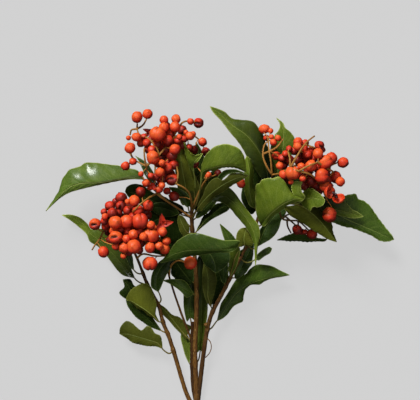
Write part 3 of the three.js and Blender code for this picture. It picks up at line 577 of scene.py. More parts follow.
@dataclass
class Leaf:
    """A leaf from the wood that carries it to its tip, with margins shaped by widths and tilts.

    Attributes:
        name: The leaf's name; its CAD node has leaf_ before it.
        tone: Greens of its two faces.
        path: Places along the midrib.
        stem: The stalk's share of the path.
        dim: Painted shade: how much darker it is painted in the shade of others, from its foot to its tip.
        shade: Painted shade: how much darker its left and right halves are painted.
        twin: The leaf whose CAD node it shares, where it has none of its own.
        wave: Height of the blade's waves in mm.
        waves: How many waves the blade has.
        phase: Where the waves start.
        teeth: Depth in mm of the teeth in its margins.
        half: Half widths in mm, left and right of the midrib.
        tilt: Degrees that the halves rise from level, left and right.
        widest: Where the blade is widest.
        sharp: How pointed the blade is at its root and at its tip.
    """

    name: str
    tone: Tone
    path: list[Place]
    stem: float = 0.14
    dim: tuple[float, ...] = (0.3, 0.0)
    shade: tuple[float, float] = (0, 0)
    twin: str = ""
    wave: float = 1.5
    waves: float = 3
    phase: float = 0
    teeth: float = 0
    half: tuple[float, float] = (8, 8)
    tilt: tuple[float, float] = (0, 0)
    widest: float = 0.46
    sharp: tuple[float, float] = (0.8, 1.4)

    ACROSS = 20
    ALONG = 72
    THICKNESS = 0.5 * MM
    STALK_HALF_WIDTH = 0.85  # mm that each margin lies further out at the foot
    TIP_HALF_WIDTH = 0.3
    RIPPLE = 0.06  # how far a plain margin swings in and out, as a share of its width
    ARCH = 0.06  # how high each half of the blade bulges, as a share of its width
    BROAD = 8  # mm of half width from which the waves have their full height
    SHIFT = 1.3  # radians by which the right margin's waves differ from the left one's
    CRIMP = 0.35  # height in mm of the small waves in the margin
    CRIMPS = 4.3  # small waves to one large wave
    GUTTER = 0.5  # depth in mm of the groove over the midrib
    GUTTER_WIDTH = 1.6
    TEETH = 17  # teeth in each margin
    RIB_RINGS = 40
    RIB_SIDES = 8
    RIB_END = 0.95  # share of the blade's length at which the midrib ends
    RIB_RADII = (0.95, 0.72, 0.16)  # mm at the stalk's root, at the blade's foot and at the tip
    RIB_STANDING = 0.55  # how far the midrib's middle lies off the blade, as a share of its radius
    RIB_COLOURED = 0.6  # share of the leaf's length from which the midrib has its tip colour
    RIB_DIM = 0.8  # how much of the blade's painted shade is painted on it too

    @property
    def node(self) -> str:
        """Gives the CAD node that the leaf stands for."""
        return f"leaf_{self.twin or self.name}"

    def outline(self, route: Route) -> None:
        """Gets ready what edge needs; widths and tilts need nothing."""

    def edge(self, t: float, ahead: Vector, middle: Vector, right: bool) -> Vector:
        """Gives the way from the midrib to a margin.

        Args:
            t: Place along the blade.
            ahead: The midrib's direction there.
            middle: The midrib's point there; not used here, only DrawnLeaf's edge uses it.
            right: Whether it is the right margin.

        Returns:
            The vector in metres.
        """
        hump = math.sin(math.pi * t ** (math.log(0.5) / math.log(self.widest))) if t > 0 else 0.0
        width = self.half[right] * max(hump, 0.0) ** mix(*self.sharp, t)
        width *= 1 + self.RIPPLE * math.sin(8 * self.waves * t + 2 * self.phase + 2 * right)
        side = UP.cross(ahead).normalized() * (-1 if right else 1)
        over = UP - ahead * UP.dot(ahead)
        turn = math.radians(self.tilt[right]) * min(1, t * 6)
        return (side * math.cos(turn) + over.normalized() * math.sin(turn)) * width * MM

    def groove(self, t: float) -> float:
        """Gives the depth in mm of the groove over the midrib, which runs out at the foot and the tip."""
        return self.GUTTER * min(1, t * 8) * (1 - t)

    def row(self, route: Route, t: float) -> Row:
        """Works out one row of the blade.

        Args:
            route: The leaf's middle line.
            t: Place along the blade.

        Returns:
            The row.
        """
        share = mix(self.stem, 1, t)
        ahead, middle = route.direction(share), route.point(share)
        side = UP.cross(ahead).normalized()
        halves = []
        for right in (False, True):
            edge = self.edge(t, ahead, middle, right)
            edge += side * (-1 if right else 1) * mix(self.STALK_HALF_WIDTH, self.TIP_HALF_WIDTH, t) * MM
            reach = edge.length / MM
            bite = self.teeth * (self.TEETH * t % 1) * min(1, reach / self.BROAD)
            edge *= 1 - bite / reach
            normal = ahead.cross(edge).normalized() * (-1 if right else 1)
            halves.append((edge, normal))
        return middle, ahead.cross(side), halves

    def spot(self, row: Row, v: float, t: float) -> Vector:
        """Gives a point of the blade.

        Args:
            row: What row gives for t.
            v: Place across, from -1 at the left margin to 1 at the right one.
            t: Place along the blade.

        Returns:
            The point in metres.
        """
        middle, over, halves = row
        right, off = v > 0, abs(v)
        edge, normal = halves[right]
        reach = edge.length / MM
        broad = min(1, reach / self.BROAD)
        wave = math.sin(math.tau * self.waves * t + self.phase + self.SHIFT * right)
        crimp = math.sin(math.tau * self.CRIMPS * self.waves * t + 3 * self.phase + right)
        lift = self.ARCH * reach * 4 * off * (1 - off)
        lift += self.wave * off**2 * broad * wave
        lift += self.CRIMP * off**4 * broad * crimp
        lift -= self.groove(t) * bell(off * reach, self.GUTTER_WIDTH)
        return middle + edge * off + over.lerp(normal, off) * lift * MM

    def build(self, finishes: dict[Tone, Material], stalk: Material) -> None:
        """Makes the blade, and the stalk that runs on as its midrib.

        Args:
            finishes: The leaf faces' materials.
            stalk: The stalk's material.
        """
        route = Route.through(self.path)
        self.outline(route)
        mesh = bmesh.new()
        dim, margin = mesh.verts.layers.float.new("dim"), mesh.verts.layers.float.new("margin")
        uv = mesh.loops.layers.uv.new("blade")
        grid = bmesh.ops.create_grid(mesh, x_segments=self.ACROSS, y_segments=self.ALONG, size=1)["verts"]
        for face in mesh.faces:
            for loop in face.loops:
                loop[uv].uv = ((loop.vert.co.x + 1) / 2, (loop.vert.co.y + 1) / 2)
        rows = [self.row(route, i / self.ALONG) for i in range(self.ALONG + 1)]
        for vert in grid:
            t = (vert.co.y + 1) / 2
            side, row = vert.co.x, rows[round(t * self.ALONG)]
            # painted shade: darker along the leaf as dim gives, and on each half as shade gives
            vert[dim] = trend(self.dim, t) + self.shade[side > 0] * min(1, 6 * abs(side))
            vert[margin] = (1 - abs(side)) * row[2][side > 0][0].length / MM
            vert.co = self.spot(row, side, t)
        faces = [finishes[self.tone], finishes[UNDERSIDES.get(self.tone, OLIVE)]]
        blade = add_piece(f"leaf_{self.name}_blade", mesh, faces, [self.node])
        shell = blade.modifiers.new("thickness", "SOLIDIFY")
        shell.thickness, shell.offset = self.THICKNESS, 0
        shell.material_offset = 1
        self.build_rib(route, stalk)

    def build_rib(self, route: Route, finish: Material) -> None:
        """Makes the stalk and midrib, which stands out on the blade's lower face.

        Args:
            route: The leaf's middle line.
            finish: The stalk's material.
        """
        below = 1 if self.tone is OLIVE else -1
        root, foot, tip = self.RIB_RADII
        mesh = bmesh.new()
        share, dim = mesh.verts.layers.float.new("share"), mesh.verts.layers.float.new("dim")
        points, radii = [], []
        for i in range(self.RIB_RINGS + 1):
            walked = i / self.RIB_RINGS * mix(self.stem, 1, self.RIB_END)
            if walked <= self.stem:
                radius = mix(root, foot, walked / self.stem)
                points.append(route.point(walked))
            else:
                t = (walked - self.stem) / (1 - self.stem)
                radius = mix(foot, tip, t**0.7)
                middle, over, _ = self.row(route, t)
                points.append(middle + over * (below * self.RIB_STANDING * radius - self.groove(t)) * MM)
            radii.append(radius * MM)
        for vert in add_tube(mesh, points, radii, self.RIB_SIDES):
            walked = (vert.co - points[0]).length
            vert[share] = min(1.0, walked / (route.marks[-1] * self.RIB_COLOURED))
            # painted shade on the stalk and midrib, a share of the blade's
            vert[dim] = trend(self.dim, vert[share]) * self.RIB_DIM
        close(mesh)
        add_piece(f"leaf_{self.name}_rib", mesh, [finish], [self.node])


@dataclass
class DrawnLeaf(Leaf):
    """A leaf with each margin drawn as the photograph shows it.

    Attributes:
        left: Pixels along the left margin, from the blade's foot to its tip.
        right: Pixels along the right margin.
        rise: How many mm the left and right margins lie higher than the midrib, halfway along.
        margins: The lines of both margins, once outline has drawn them.
    """

    left: list[Pixel] = field(default_factory=list)
    right: list[Pixel] = field(default_factory=list)
    rise: tuple[float, float] = (0, 0)
    margins: list[Route] = field(default_factory=list, init=False)

    LOWEST = 0.6  # mm that a margin stays above the table

    def outline(self, route: Route) -> None:
        """Draws both margins."""
        self.margins = []
        for pixels, rise in zip((self.left, self.right), self.rise):
            knots = [route.point(self.stem)]
            for i, (px, py) in enumerate(pixels):
                t = (i + 1) / (len(pixels) + 1)
                z = route.point(mix(self.stem, 1, t)).z / MM + rise * math.sin(math.pi * t)
                knots.append(at(px, py, max(z, self.LOWEST)))
            self.margins.append(Route([*knots, route.point(1.0)]))

    def edge(self, t: float, ahead: Vector, middle: Vector, right: bool) -> Vector:
        """Gives the way from the midrib to a margin, as Leaf does."""
        return self.margins[right].point(t) - middle


# Each leaf's dim and shade are painted shade that darkens its greens inside the branch.
LEAVES: list[Leaf] = [
    DrawnLeaf("west_long", GLOSSY, stem=0.2, wave=0.0, rise=(-4, -9), path=[
        (163, 198, 42), (154, 190, 44), (139, 177, 46), (125, 178.5, 49), (110, 181, 52), (97, 183, 53),
        (85, 183, 50.5), (75, 185, 48), (67, 189, 45), (59, 197, 41), (46, 211, 34),
    ], left=[
        (133, 178.5), (120, 180), (105, 183), (92, 186), (80, 189), (70, 192), (61, 197), (53, 204),
    ], right=[
        (138, 171.5), (130, 169), (120, 166.5), (108, 165), (97, 163.5), (85, 163.5), (80, 167), (70, 170),
        (65, 176), (62, 181), (60, 189), (55, 198),
    ]),
    DrawnLeaf("south_west_long", FRESH, stem=0.15, dim=(0.95, 0.8, 0.6, 0.1, 0.0), wave=0.8, rise=(0, -3),
              phase=1, path=[
        (147, 285, 31.2), (138, 281.5, 25), (131, 274, 19), (122, 264, 15), (112, 253, 13), (100, 241, 12),
        (91, 234, 12), (84, 225, 11), (73, 217.5, 10), (62, 215, 9),
    ], left=[
        (124, 275), (118, 270), (112, 262), (106, 254), (98, 246), (90, 241), (87, 234), (80, 227.5),
        (71, 220.5),
    ], right=[
        (128, 263), (122, 250), (112, 240), (106, 231), (98, 229), (91, 230), (87, 224), (80, 218),
        (71, 215),
    ]),
    Leaf("south_west_small", DEEP, half=(3, 3.5), tilt=(-20, -10), phase=2, stem=0.3, dim=(0.5, 0.3), path=[
        (143.2, 274, 33.7), (137, 273, 40), (132, 267, 45), (129, 258, 48), (125, 247, 48), (121, 238, 45),
    ]),
    DrawnLeaf("north_west_dark", DEEP, rise=(-6, 3), phase=3, dim=(0.9, 0.9, 0.5, 0.0), path=[
        (191.9, 214, 45), (180, 210, 36), (165, 205, 32), (150, 199.5, 30), (138, 194, 29),
        (125, 191.5, 27),
    ], left=[
        (180, 214), (165, 213), (150, 209), (138, 203), (129, 196.5),
    ], right=[
        (182, 207), (168, 199.5), (155, 193.5), (147, 189), (141, 185.5), (133, 184), (127, 187),
    ]),
    DrawnLeaf("west_shade_upper", DEEP, stem=0.3, rise=(-3, 2), dim=(0.0, 0.8, 0.8, 0.5), wave=0.6,
              twin="north_west_dark", path=[
        (191.2, 217.5, 44.2), (183, 215, 42), (174, 211.5, 40), (162, 208, 36), (150, 207, 35),
    ], left=[(172, 216), (163, 216), (156, 213)], right=[(174, 207), (165, 203), (156, 203)]),
    DrawnLeaf("west_shade_lower", SHADED, stem=0.3, rise=(-3, 2), phase=2, wave=0.8, dim=(0.0, 0.4, 0.3),
              twin="back_middle", path=[
        (192.2, 228.5, 41.2), (187, 223.5, 40), (181, 217.5, 38), (172, 215, 34), (161, 218, 30),
        (149, 223, 27),
    ], left=[
        (183, 238), (174, 242), (163, 236), (155, 232),
    ], right=[
        (176, 212), (166, 207), (155, 207), (150, 213),
    ]),
    DrawnLeaf("north_west_slim", DEEP, rise=(-3, 1), dim=(0.4, 0.2), wave=0.4, path=[
        (191.5, 209, 46.1), (188.5, 203.5, 52), (184, 197.5, 56), (177.5, 192, 58), (169, 187, 57),
    ], left=[(188, 207), (181, 200.5), (173.5, 192.5)], right=[(191, 202), (187, 194), (178.5, 188.5)]),
    Leaf("north_west_back", DEEP, half=(4.5, 4), tilt=(-5, -10), phase=1.5, dim=(0.9, 0.6, 0.0), path=[
        (158.5, 192, 42), (153, 182, 37), (148.5, 172, 33), (143, 163, 30), (135.5, 156, 27),
    ]),
    DrawnLeaf("north_upright", OLIVE, rise=(-2, -3), stem=0.18, phase=0.5, wave=0.8, dim=(0.4, 0.0, 0.0),
              path=[
        (191.8, 217, 44.4), (189, 211, 46), (187.3, 200, 49), (185.5, 186, 56), (183, 174, 63),
        (181, 160, 66), (180.5, 147, 64), (181, 134, 60),
    ], left=[
        (183, 205), (179, 193), (177.5, 182), (175.5, 170), (176, 158), (178, 147), (179.5, 138),
    ], right=[
        (192, 203), (195, 190), (194, 177), (189, 167), (185, 156), (184, 145), (183, 138),
    ]),
    DrawnLeaf("north_curl", OLIVE, rise=(-2, 1), phase=2.5, dim=(0.85, 0.6, 0.4, 0.2), wave=0.6, path=[
        (191.7, 210, 45.9), (195, 204, 49), (194.5, 194, 53), (192.5, 182, 57), (190, 171, 61),
        (188, 160, 65), (186.5, 149, 68),
    ], left=[
        (192, 200), (188.5, 188), (186.5, 176), (185, 164), (184.5, 154),
    ], right=[
        (199, 198), (199, 187), (195.5, 177), (192, 167), (189.5, 157),
    ]),
    DrawnLeaf("north_dark", SHADED, rise=(0, -2), phase=4, path=[
        (191.8, 214.5, 45), (196, 202, 37), (199, 187, 32), (200, 172, 28), (199, 158, 25), (196, 142, 24),
    ], left=[
        (190, 200), (190, 185), (192, 170), (194, 155),
    ], right=[
        (204, 200), (208, 186), (207, 172), (204, 158), (200, 148),
    ]),
    DrawnLeaf("centre_olive", OLIVE, rise=(-2, -3), dim=(0.6, 0.45), wave=0.6, twin="north_dark", path=[
        (191.8, 212, 45.6), (194, 204, 46), (196, 194, 47), (198.5, 184, 48), (200, 174, 48),
    ], left=[
        (189, 203), (188.5, 192), (193, 181),
    ], right=[
        (198, 205), (203.5, 196), (206, 186), (204, 178),
    ]),
    DrawnLeaf("centre_dark", SHADED, rise=(-2, -2), phase=1, twin="back_north", path=[
        (191.9, 217, 44.3), (199, 207, 36), (205, 197, 31), (210, 185, 28), (212, 172, 26),
    ], left=[(195, 201), (200, 189), (204, 177)], right=[(204, 209), (211, 199), (216, 187), (216, 177)]),
    DrawnLeaf("north_round", FRESH, rise=(3, -10), stem=0.42, wave=0.5, dim=(0.7, 0.35, 0.05, 0.05), path=[
        (191.8, 212, 45.6), (196, 205, 54), (199.5, 193, 67), (201, 182, 79), (203, 171.5, 88),
        (213, 168, 92), (222, 166, 93), (232, 165, 90), (240, 167, 85), (246, 172, 77),
    ], left=[
        (202.5, 164), (205, 157), (210, 151), (215, 147), (221, 145), (227, 144.5), (233, 146), (239, 149),
        (243, 155), (245.5, 163),
    ], right=[
        (208, 171), (215, 169.5), (223, 167.5), (231, 166.5), (239, 169),
    ]),
    DrawnLeaf("north_narrow", FRESH, rise=(-4, -10), phase=1, dim=(0.6, 0.0), wave=0.8, path=[
        (259.5, 213, 44.3), (254, 207, 51), (250.5, 197, 57), (249, 183, 61), (249, 169, 62),
        (246.5, 156, 61),
    ], left=[
        (250, 205), (246, 195), (245, 183), (245, 171), (244.5, 162),
    ], right=[
        (258, 200), (254, 188), (252.5, 176), (253, 166), (250.5, 160),
    ]),
    DrawnLeaf("north_east_olive", OLIVE, rise=(2, -6), phase=2, stem=0.24, wave=0.8, dim=(0.7, 0.45), path=[
        (191.9, 220, 43.5), (196, 212, 57), (202, 203, 70), (210, 194.5, 78), (219, 187.5, 83),
        (229, 181.5, 84), (239, 177.5, 84), (248, 176, 81),
    ], left=[
        (200, 202), (204, 195), (207, 187), (211, 181), (217.5, 178), (222, 180.5), (226, 178.5),
        (230, 174.5), (240, 173.5),
    ], right=[
        (200, 211), (206, 204.5), (214, 197), (222, 191.5), (231, 186), (239, 181),
    ]),
    Leaf("olive_roll", SHADED, half=(3, 1.6), stem=0.02, widest=0.2, wave=0.2, twin="north_east_olive",
         path=[
        (219, 182, 83), (222, 176.5, 85.5), (228, 172.5, 86.5), (236, 171.5, 86.5), (243, 173, 85),
        (249, 175.5, 82),
    ]),
    Leaf("east_dark_upper", SHADED, half=(5, 5), tilt=(-20, -20), path=[
        (192, 221, 43.3), (198, 216, 46), (205, 208.5, 47), (213, 201, 46), (220, 194, 44),
    ]),
    DrawnLeaf("east_dark_lower", SHADED, rise=(-6, -2), phase=2, path=[
        (192.6, 236, 39), (199, 228.5, 42), (206, 220, 42), (214, 213, 40), (222, 207.5, 38),
        (231, 205, 35),
    ], left=[
        (201, 222), (208, 213), (215, 206), (222, 202.5),
    ], right=[
        (206, 223), (214, 217.5), (222, 213.5), (228, 210),
    ]),
    DrawnLeaf("hanging", FRESH, stem=0.24, rise=(-2, -5), dim=(0.95, 0.75, 0.4, 0.0, -0.2), wave=0.8,
              waves=2, path=[
        (191.8, 216, 44.7), (199, 208.5, 51), (207, 202, 56), (215, 197.5, 59), (224, 196, 62),
        (232, 201, 64), (240, 210, 65), (247, 219.5, 64), (253, 230, 62), (256, 242, 59), (256.2, 253, 55),
        (255.5, 265, 52),
    ], left=[
        (214, 195), (221, 190.5), (228, 188), (234, 193), (240, 201), (246, 209), (252, 217.5),
        (257.5, 225), (259.5, 234), (258, 243), (257, 250), (256.6, 257),
    ], right=[
        (212, 201.5), (219, 201), (226, 204), (232, 210), (238, 217), (244, 223), (249, 231), (252.5, 239),
        (254.3, 246), (255, 254),
    ]),
    DrawnLeaf("round_olive", OLIVE, rise=(-2, 0), stem=0.2, wave=0.6, path=[
        (246, 248, 39.8), (244.5, 244, 46), (244, 239, 49), (245, 233, 50), (247, 227.5, 48),
    ], left=[
        (239, 246.5), (236.8, 241), (237.5, 233), (241.5, 228.5),
    ], right=[
        (250.5, 246.5), (254, 240), (254, 232), (251, 228),
    ]),
    DrawnLeaf("front", MIDDLE, stem=0.4, rise=(-6, 0), wave=0.6, dim=(0.1, 0.4, 0.5, 0.55), path=[
        (229, 280, 31), (231.5, 270, 40), (235.5, 258, 56), (239.5, 249, 70), (237, 247, 77),
        (228, 249, 82), (215, 250, 84), (200, 250, 84), (185, 251, 81), (172, 255, 75), (160, 263, 67),
    ], left=[
        (232, 251), (220, 252), (208, 253), (197, 255), (187, 256.5), (178, 258.5), (169, 261),
    ], right=[
        (240, 241.5), (233, 241), (225, 241), (215, 238.5), (207, 236), (199, 234), (190, 234), (184, 237),
        (178, 241), (172, 248), (166, 256),
    ]),
    DrawnLeaf("front_fold", FRESH, stem=0.1, rise=(-1, -1), wave=0.3, dim=(0.4, 0.0), twin="front", path=[
        (229, 280, 31), (231, 274, 36), (232.5, 268, 42), (234, 260, 50), (236, 252, 59), (238, 245.5, 67),
    ], left=[(229, 268), (229.5, 260), (230.5, 251)], right=[(235.5, 267), (238, 259), (239.5, 251)]),
    DrawnLeaf("middle_dark", DEEP, rise=(2, -4), phase=1, dim=(0.8, 0.3), path=[
        (193.4, 243, 37.6), (199, 246, 48), (206, 250, 54), (212, 257, 56), (215, 264, 55), (216, 273, 52),
    ], left=[
        (206, 244), (217, 246), (227, 250), (230, 258), (225, 267),
    ], right=[
        (199, 252), (203, 261), (209, 268),
    ]),
    DrawnLeaf("middle_olive", OLIVE, rise=(-1, -3), phase=2, wave=0.6, dim=(0.75, 0.55), path=[
        (213, 311, 22.4), (210.5, 305, 29), (208, 297, 33), (208, 285, 36), (207.5, 274, 38),
        (204, 263, 39),
    ], left=[
        (207, 301), (203.5, 290), (202.5, 277),
    ], right=[
        (211.5, 301), (214.5, 290), (216, 279), (212, 268),
    ]),
    DrawnLeaf("middle_shade", SHADED, rise=(0, -3), phase=3, wave=0.8, path=[
        (212.5, 312, 22.2), (213.5, 301, 19.5), (214.5, 287, 18.5), (215.5, 274, 18), (217, 258, 18),
    ], left=[
        (210, 304), (206, 291), (203, 276), (207, 262),
    ], right=[
        (217.5, 304), (223.5, 290), (228, 275), (226, 262),
    ]),
    Leaf("middle_slim", DEEP, half=(5, 5), tilt=(-30, -30), dim=(0.5, 0.2), path=[
        (225.5, 287, 28.8), (223.5, 278, 38), (223.5, 270, 43), (225, 261, 46), (228, 251, 46),
    ]),
    Leaf("east_behind", DEEP, half=(12, 8), tilt=(-10, 0), dim=(0.6, 0.4), path=[
        (230, 278, 31.5), (236, 277, 25), (241, 268, 23), (246, 258, 24), (250, 250, 26), (255, 243, 27),
    ]),
    DrawnLeaf("middle_point", MIDDLE, stem=0.1, rise=(-1, -3), wave=0.5, dim=(0.7, 0.2), path=[
        (239.5, 259, 36.7), (236, 252.5, 43), (233, 247, 46), (229, 239, 47), (225, 231, 46),
        (220, 224, 44),
    ], left=[
        (233, 254), (228, 248), (225, 240), (222, 231),
    ], right=[
        (240, 253), (238, 246), (235, 239), (228, 231),
    ]),
    DrawnLeaf("east_small", MIDDLE, stem=0.5, rise=(1, -1), wave=0.3, dim=(0.5, 0.3), path=[
        (240, 258, 37), (246, 262.5, 33), (252, 261.5, 32), (258, 257, 34), (265, 252.5, 36),
        (272, 248.5, 36),
    ], left=[(258, 254.5), (264, 249.5), (269.5, 247)], right=[(258, 260), (264, 256), (270, 252.5)]),
    DrawnLeaf("north_big", FRESH, rise=(2, -3), phase=2, dim=(0.9, 0.7, 0.4, 0.1), shade=(0.1, 0.25),
              wave=1.0, path=[
        (265.8, 196.5, 45.4), (267.5, 186, 42), (267, 172, 45), (262, 157, 50), (254, 144, 53),
        (246, 135, 54), (236, 128, 53), (228, 122, 51), (220, 114, 48), (210, 106.5, 45),
    ], left=[
        (264, 180), (258, 172), (252, 163), (247, 156), (243, 148), (238, 141), (230, 132), (221, 120),
        (213, 112),
    ], right=[
        (272, 172), (270, 160), (268, 150), (265, 142), (263, 135), (258, 128), (253, 122.5), (248, 121),
        (240, 120), (231, 118), (225, 112.5), (216, 108.3),
    ]),
    DrawnLeaf("north_tall", FRESH, phase=3, dim=(0.85, 0.55, 0.3, 0.1), wave=0.8, rise=(1, -1), path=[
        (268.6, 190.6, 45.8), (273, 183, 38), (278, 168, 36), (282, 152, 36), (283.5, 140, 36),
        (283, 130, 35), (281, 123, 33), (276.5, 118, 31),
    ], left=[
        (271, 176), (270, 164), (270.5, 152), (272, 142), (275, 135), (279, 130), (280, 124),
    ], right=[
        (279, 178), (287, 166), (291, 155), (293, 146), (294, 138), (290, 132), (285, 128), (283, 123.5),
    ]),
    DrawnLeaf("east_fold", FRESH, stem=0.16, rise=(0, -8), wave=1.2, waves=2, dim=(0.5, 0.25, 0.1), path=[
        (256.4, 224, 43.4), (259.5, 226, 51), (263, 223, 60), (268, 217, 70), (275, 210.5, 79),
        (283, 204.5, 84), (291, 200.5, 85), (298, 198.5, 82), (304.5, 199, 77),
    ], left=[
        (259.5, 221), (257.5, 212), (256.3, 203), (255.8, 194), (256.3, 185), (260, 183.5), (262, 180.5),
        (268, 178.5), (274, 178.5), (279, 177), (284, 181), (288, 187), (292, 193.5), (298, 196.5),
    ], right=[
        (264, 226), (270, 219), (277, 212), (285, 206.5), (293, 203), (300, 201),
    ]),
    DrawnLeaf("east_piece", FRESH, stem=0.56, rise=(1, 1), wave=0.4, dim=(0.1, 0.0), path=[
        (281, 205.6, 46.7), (289, 204, 58), (299, 203, 70), (302.5, 198, 79), (298, 190, 84),
        (299.5, 181.5, 86),
    ], left=[
        (298, 197.5), (292.5, 191.5), (292, 185.5), (295, 181.5),
    ], right=[
        (304.5, 197), (301.5, 192), (300.5, 186), (302, 182),
    ]),
    DrawnLeaf("east_curl", FRESH, stem=0.22, phase=2, wave=1.0, path=[
        (294, 202.5, 48.5), (300, 200, 59), (306, 199, 67), (313, 198, 73), (319, 199, 75),
        (325, 200.5, 76),
    ], left=[
        (301, 197), (304.5, 192), (308, 188.5), (312, 188.5), (317, 192), (322, 196),
    ], right=[
        (302, 203.5), (306, 208), (310, 210.5), (313.5, 206.5), (318, 207), (323.5, 204.5),
    ]),
    DrawnLeaf("east_lower", OLIVE, stem=0.12, rise=(-9, -2), phase=1, wave=0.8, dim=(0.2, 0.05),
              shade=(0.45, 0), path=[
        (288, 203.3, 47.5), (295, 204.5, 49), (302, 206.5, 51), (310, 212, 52), (318, 219, 50.5),
        (325, 227, 48), (331, 235, 44), (336.5, 242, 40),
    ], left=[
        (304, 203), (313, 207.5), (321, 212.5), (327, 218), (331, 224), (333, 232),
    ], right=[
        (285, 206.5), (289, 213.5), (297, 219), (307, 225.5), (316, 231.5), (326, 238),
    ]),
    DrawnLeaf("east_long", MIDDLE, stem=0.1, rise=(1, -3), phase=2, wave=0.8, teeth=0.7,
              dim=(0.9, 0.3, -0.1, -0.1), path=[
        (305.7, 201.1, 49.9), (311, 205, 42), (321, 209, 35), (335, 213.5, 32), (349, 220.5, 31),
        (362, 226, 30), (374, 231, 28), (385, 236, 26.5), (394, 239.5, 25),
    ], left=[
        (318, 201), (327, 197), (336, 196.5), (343, 196), (350, 194.5), (356, 194.3), (358, 199),
        (363, 200.5), (370, 206), (373, 210.5), (380, 220), (387, 229), (392.5, 236),
    ], right=[
        (316, 211), (326, 219), (336, 223.5), (344, 226.5), (353, 228), (363, 232), (372, 236),
        (380, 240.8), (388, 241.5),
    ]),
    DrawnLeaf("east_second", FRESH, phase=3, rise=(1, -2), wave=0.6, dim=(0.95, 0.7, 0.15), shade=(0.15, 0),
              path=[
        (300, 201.8, 49.4), (306, 199.5, 46), (318, 204, 43), (332, 208.5, 42), (345, 212, 42),
        (355, 214.5, 41), (363.5, 216.5, 40),
    ], left=[
        (312, 198), (324, 197), (336, 197), (342, 199.5), (347, 204), (352, 209.5), (358, 212.5),
    ], right=[
        (312, 206), (324, 210.5), (336, 214), (346, 216.8), (355, 218),
    ]),
    DrawnLeaf("east_edge", DEEP, rise=(-10, 9), stem=0.08, wave=0.4, dim=(0.3, 0.1), path=[
        (327.8, 235.6, 21.2), (325, 240.8, 17), (312, 240, 15), (298, 239.5, 14), (287, 239.5, 13),
        (277, 240, 14),
    ], left=[
        (316, 241), (303, 241), (289, 240.5),
    ], right=[
        (319, 239), (310, 236.5), (303, 234), (296, 233), (290, 234.5), (283, 237.5),
    ]),
    DrawnLeaf("east_under", DEEP, stem=0.2, rise=(-5, 1), phase=1, wave=0.8, dim=(0.2, 0.3), path=[
        (247, 245.6, 40.3), (253, 249, 37), (259, 243.5, 35), (262, 236, 34), (266, 228, 33),
        (271, 220.5, 33), (277, 213.5, 33), (283, 206, 32),
    ], left=[
        (257, 243), (259, 236), (262, 228), (267, 220), (274, 212),
    ], right=[
        (262, 243.5), (270, 239), (275, 234), (279, 227), (281, 220), (286, 211.5),
    ]),
    DrawnLeaf("south_east_big", MIDDLE, rise=(-1, -5), phase=1, wave=1.0, dim=(0.5, -0.05), path=[
        (207.2, 330, 17.3), (211, 328.5, 16), (216, 322, 14), (220.5, 317, 13.5), (229, 303, 14),
        (239, 291, 16), (251, 283.5, 18), (264, 279, 20), (277, 276.5, 20), (289.5, 275, 17),
    ], left=[
        (219.7, 311), (221.5, 304), (226, 297), (231, 289), (236, 280.5), (241, 274), (245, 275),
        (250, 269.5), (257, 265), (264, 265), (272, 266.5), (281, 271),
    ], right=[
        (223, 317.5), (228, 313), (232, 307), (236, 303.5), (242, 301), (243.5, 295), (246, 288.5),
        (252, 283.8), (259, 283.8), (265, 280.8), (273, 278), (282, 276.3),
    ]),
    DrawnLeaf("middle_left", MIDDLE, rise=(-1, -2), phase=2, wave=0.6, dim=(0.25, 0.4, 0.7), path=[
        (191.6, 325, 13.6), (190.5, 318, 15), (190, 306, 16), (190.5, 295, 16), (192, 284, 15),
        (194, 272, 13),
    ], left=[
        (188, 321.5), (185.5, 314), (184.3, 306), (184, 296), (184.5, 286),
    ], right=[
        (195.5, 321), (197, 308), (197, 293), (196, 283),
    ]),
    DrawnLeaf("middle_tip", MIDDLE, rise=(-1, 1), phase=1, wave=0.5, dim=(0.5, 0.2), path=[
        (196.5, 296, 26), (190, 292, 34), (183, 288, 38), (174, 283, 39), (163, 280.5, 37),
    ], left=[(187, 297), (181, 291), (172, 284.5)], right=[(184, 281), (176, 279.5), (169, 279.5)]),
    DrawnLeaf("west_top", DEEP, stem=0.3, rise=(-2, -1), phase=1, wave=0.8, dim=(0.0, 0.8), path=[
        (158.2, 304.5, 26.2), (161, 300, 32), (159.5, 294, 37), (157, 288.5, 40), (156.5, 278, 43),
        (160, 269, 45), (168, 261, 45), (175, 256, 44),
    ], left=[
        (152, 287), (151.5, 281), (153, 273), (157, 265), (164, 259),
    ], right=[
        (160, 288), (163, 281), (167, 273), (172, 265),
    ]),
    DrawnLeaf("south_west_round", OLIVE, rise=(-8, 2), phase=2, wave=0.8, dim=(0.1, 0.0), path=[
        (163, 322, 22), (158.5, 321.5, 28), (154, 317, 32), (147, 311, 34), (140, 306.5, 34),
        (133, 302, 32), (126, 299, 28),
    ], left=[
        (149, 314.5), (142, 310), (134, 304.5),
    ], right=[
        (155, 314), (156, 304), (153.5, 296), (151, 288), (147, 284), (141, 284), (136, 286.5), (131, 290),
        (128, 295),
    ]),
    DrawnLeaf("south_west_dark", SHADED, rise=(-3, 0), phase=3, wave=0.6, dim=(0.1, 0.0), path=[
        (167.6, 333.5, 19.2), (162, 331, 19), (157, 328, 19.5), (149, 320, 20), (141, 313, 20),
        (133, 306, 19), (126, 300, 16),
    ], left=[
        (152, 327), (145, 323), (138, 318), (132, 312), (128, 306),
    ], right=[
        (155, 322), (150, 315), (143, 309), (134, 303),
    ]),
    DrawnLeaf("south_west_back", SHADED, rise=(-2, -2), phase=1, wave=0.5, dim=(0.3, -0.1), path=[
        (151.5, 292, 29.3), (145, 293, 21), (138, 294, 16), (131, 290, 12), (127, 284, 10), (123, 279.5, 8),
    ], left=[
        (140, 300), (131, 300), (125, 298), (119.7, 292.5), (124.5, 287),
    ], right=[
        (140, 288), (134, 286), (130, 279.5),
    ]),
